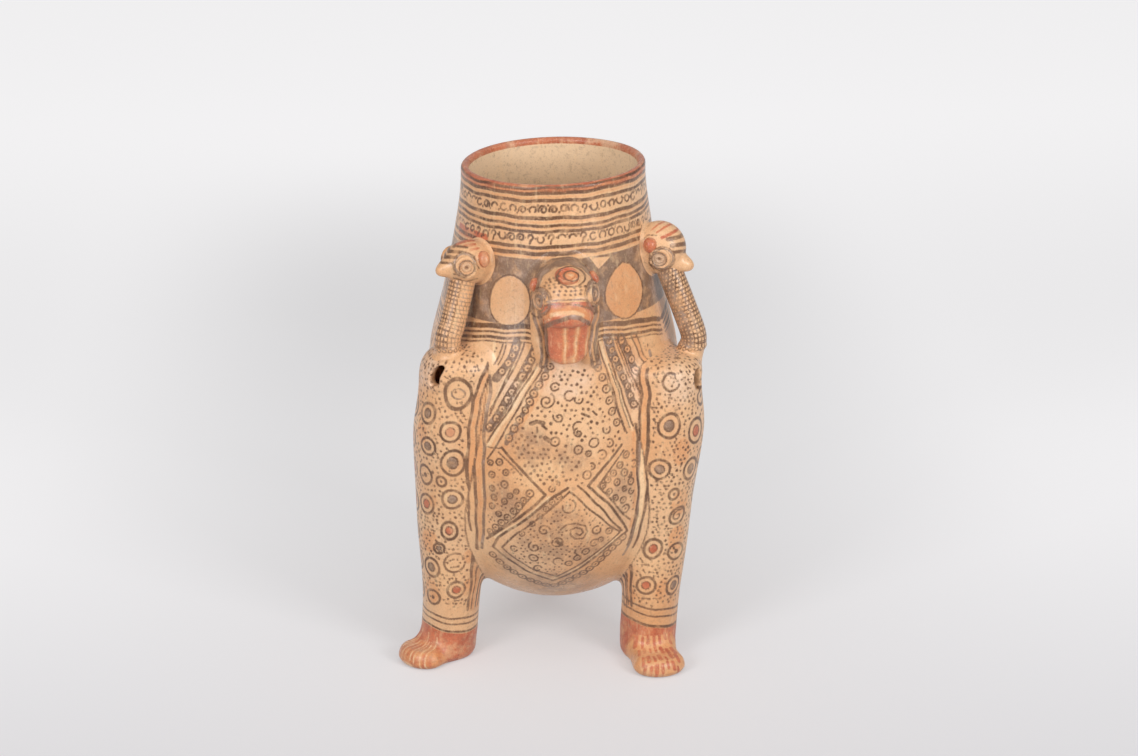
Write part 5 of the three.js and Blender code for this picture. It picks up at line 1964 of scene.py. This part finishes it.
def paint_neck(side, bird):
    """A net of lines round a neck: dark, but grey on the side that shines, as a painted highlight."""
    index = rows_of(f"{side}_bird_neck_skin")
    points = ALL[index]
    round_angle, along = neck_chart(bird, points)
    column = (round_angle / SQUARE_TURN % 1 - 0.5) * SQUARE_TURN * NECK_RADIUS * math.pi / 180
    row = (along / SQUARE_LENGTH % 1 - 0.5) * SQUARE_LENGTH
    net = SQUARE_HALF - np.maximum(np.abs(column), np.abs(row))
    start, end = NECK_HIGHLIGHT_SIDES[side]
    highlit = np.minimum(round_angle - start, end - round_angle)
    highlit = np.clip(highlit * NECK_RADIUS * math.pi / 180, -4, 4)
    from_foot = points[:, 2] - bird["foot"] - 2.5
    wash = np.maximum(-from_foot, -highlit)
    # On the side that shines the net is grey: a painted highlight.
    highlight_net = net + (0.24 if side == "left" else -0.3)
    LAYERS["grey"][index] = np.maximum(wash, np.where(highlit > 0, highlight_net, wash))
    LAYERS["dark"][index] = np.maximum(np.maximum(net, highlit), -from_foot)
    base = Sheet(index, round_angle, points[:, 2], np.full(len(index), NECK_RADIUS * math.pi / 180))
    for place in range(-180, 180, 24):
        base.ring("dark", (place, bird["foot"] + 1.4), 1.1, 0.7)


for side, bird in BIRDS.items():
    paint_head(side, bird)
    paint_neck(side, bird)
print("birds painted")

# %% [markdown]
# The eyes are buttons with a dark pupil and a dark ring, and the feline's have two grey rings more.
# Each is painted by the distance from its own middle.

# %% Eyes
for owner in OWNERS:
    if owner.endswith("eye_skin"):
        index = rows_of(owner)
        outer = 7.0 if "feline" in owner else 5.2
        size = np.linalg.norm(ALL[index] - ALL[index].mean(0), axis=1)
        size = size / np.percentile(size, 96) * outer
        LAYERS["dark"][index] = np.minimum(np.abs(size - outer * 0.72) - 0.3, size - outer * 0.15)
        if "feline" in owner:
            rings = np.abs(size - outer * 0.9), np.abs(size - outer * 0.4)
            LAYERS["grey"][index] = np.minimum(*rings) - 0.9
print("eyes painted")

# %% [markdown]
# The finished layers go onto the meshes as one number for each corner and layer.

# %% Store the layers
for number, owner in enumerate(OWNERS):
    start, end = SPANS[number], SPANS[number + 1]
    for layer, values in LAYERS.items():
        attribute = PIECES[owner].data.attributes.new(layer, "FLOAT", "POINT")
        attribute.data.foreach_set("value", np.clip(values[start:end], -NONE, NONE).astype(np.float32))
print("layers stored on", len(OWNERS), "pieces")

# %% [markdown]
# ## Materials
#
# One recipe serves every slip. It starts from the ground colour, adds the red, warm and pale slips,
# the smoky fire stains, which also darken the lower and middle belly as painted shade, the painted
# highlights, the grey slip and the dark lines in that order, the slips and lines each with a ragged
# brush edge, and then ages everything: dark slip is thin or worn in patches, fire clouds tint the
# ground, fine cracks and dust lie in it, and the burnishing has left streaks in the gloss. A little
# sheen gives old dust's soft bloom at the edges. Only the ground colour differs.

# %% Slip materials
CREAM_WARM = srgb(218, 156, 104)
CREAM_PALE = srgb(244, 208, 162)
ORANGE = srgb(220, 150, 96)
RED = srgb(180, 92, 62)
RED_BRIGHT = srgb(208, 120, 82)
# The brown of the fire stains and mottling, and of the painted shade on the belly.
KHAKI = srgb(238, 208, 172)
# The colour of the painted highlights.
SMOKE_AND_SHADE_BROWN = srgb(150, 116, 92)
PAINTED_HIGHLIGHT_COLOUR = srgb(240, 214, 192)
GREY = srgb(112, 86, 70)
GREY_MILKY = srgb(162, 136, 120)
DARK = srgb(84, 52, 33)
DARK_WORN = srgb(122, 86, 60)
GRIT = srgb(110, 78, 56)
CLAY = srgb(160, 112, 82)
CLAY_PALE = srgb(188, 138, 104)
GROUNDS = {"cream_slip": CREAM, "red_slip": CREAM, "grey_slip": srgb(196, 168, 142)}


def slip_material(name, ground):
    """The painted slip over one ground colour: its layers, then its wear, then its shine."""
    finish = Finish(name)
    fade, mix, noise = finish.fade, finish.mix, finish.noise
    layer = {n: finish.add("ShaderNodeAttribute", {"attribute_name": n}, {}, "Fac") for n in LAYERS}
    ragged = (noise(900, 2) - 0.5) * 0.8 + (noise(2600, 1) - 0.5) * 0.5
    thin = noise(150, 4, 0.6)
    patches = noise(28, 3)
    cloud = noise(14, 3)
    grain = noise(3200, 2)
    mottle = noise(380, 4, 0.7)
    speckle = noise(1250, 2, 0.6)
    rubbed = noise(210, 3, 0.6, (1, 1, 0.3))
    cells = {"Vector": finish.place((1, 1, 0.8)), "Scale": 310, "Randomness": 1.0}
    crack = finish.add("ShaderNodeTexVoronoi", {"feature": "DISTANCE_TO_EDGE"}, cells, "Distance")
    crack = fade(crack, 0.0, 0.04, 1.0, 0.0) * fade(thin, 0.42, 0.62)

    def mask(name, soft, strength):
        return fade(layer[name] + ragged, -soft, soft, 1.0, 0.0) * strength

    def stain(name, soft, strength):
        return fade(layer[name], -NONE, soft, 1.0, 0.0) * strength

    colour = mix(fade(cloud, 0.35, 0.7), ground, CREAM_WARM)
    colour = mix(fade(patches, 0.5, 0.8) * 0.55, colour, CREAM_PALE)
    colour = mix(mask("buff", 0.6, 0.95), colour, KHAKI)
    red = mix(fade(thin, 0.3, 0.7), RED, RED_BRIGHT)
    colour = mix(mask("red", 0.4, fade(noise(60, 4, 0.65), 0.36, 0.5, 0.5, 1.0)), colour, red)
    colour = mix(mask("warm", 0.9, fade(thin, 0.3, 0.6, 0.3, 0.7)), colour, ORANGE)
    colour = mix(mask("pale", 0.5, fade(thin, 0.3, 0.6, 0.85, 0.5)), colour, CREAM_PALE)
    # Fire stains that are also painted shade, then the painted highlights.
    colour = mix(stain("smoke", 2.0, fade(thin, 0.3, 0.65, 0.12, 0.6)), colour, SMOKE_AND_SHADE_BROWN)
    colour = mix(stain("haze", 2.5, fade(thin, 0.3, 0.6, 0.5, 0.25)), colour, PAINTED_HIGHLIGHT_COLOUR)
    worn = fade(thin, 0.3, 0.52, 0.5, 0.95)
    milky = mix(fade(noise(90, 4, 0.7), 0.46, 0.66), GREY, GREY_MILKY)
    colour = mix(mask("grey", 0.4, worn * 0.92), colour, milky)
    ink = mix(fade(patches, 0.4, 0.62), DARK, DARK_WORN)
    colour = mix(mask("dark", 0.4, worn), colour, ink)
    colour = mix(fade(mottle, 0.5, 0.7) * 0.36, colour, SMOKE_AND_SHADE_BROWN)
    colour = mix(fade(speckle, 0.56, 0.76) * 0.36, colour, DARK_WORN)
    colour = mix(fade(speckle, 0.26, 0.42, 1.0, 0.0) * 0.34, colour, CREAM_PALE)
    colour = mix(fade(rubbed, 0.55, 0.75) * 0.34, colour, CREAM_PALE)
    colour = mix(crack * fade(layer["buff"], 0.0, 2.0, 0.05, 0.16), colour, DARK_WORN)
    colour = mix(fade(grain, 0.64, 0.8) * 0.4, colour, GRIT)
    gloss = noise(70, 3, 0.6, (1, 1, 0.35))
    finish.set(Base_Color=colour, Roughness=fade(gloss, 0.3, 0.7, 0.24, 0.44))
    finish.set(Sheen_Weight=0.08, Sheen_Roughness=0.5)
    relief = noise(420, 3) * 0.5 + grain * 0.25 - crack * 0.3
    bump = {"Height": relief, "Strength": 0.28, "Distance": 0.0006}
    finish.set(Normal=finish.add("ShaderNodeBump", {}, bump, "Normal"))
    return finish.material


def clay_material():
    finish = Finish("bare_clay")
    finish.set(Base_Color=finish.mix(finish.noise(300, 4), CLAY, CLAY_PALE), Roughness=0.8)
    return finish.material


MATERIALS = {name: slip_material(name, ground) for name, ground in GROUNDS.items()}
MATERIALS["bare_clay"] = clay_material()
for name, piece in PIECES.items():
    piece.data.materials.clear()
    piece.data.materials.append(MATERIALS[SLIPS[name]])
print(len(MATERIALS), "materials on", len(PIECES), "pieces")

# %% [markdown]
# At the end the box of this model is printed.

def write_sizes():
    """The visual model's box."""
    shown = [list(corner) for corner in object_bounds()]
    return shown


print("visual box", write_sizes())
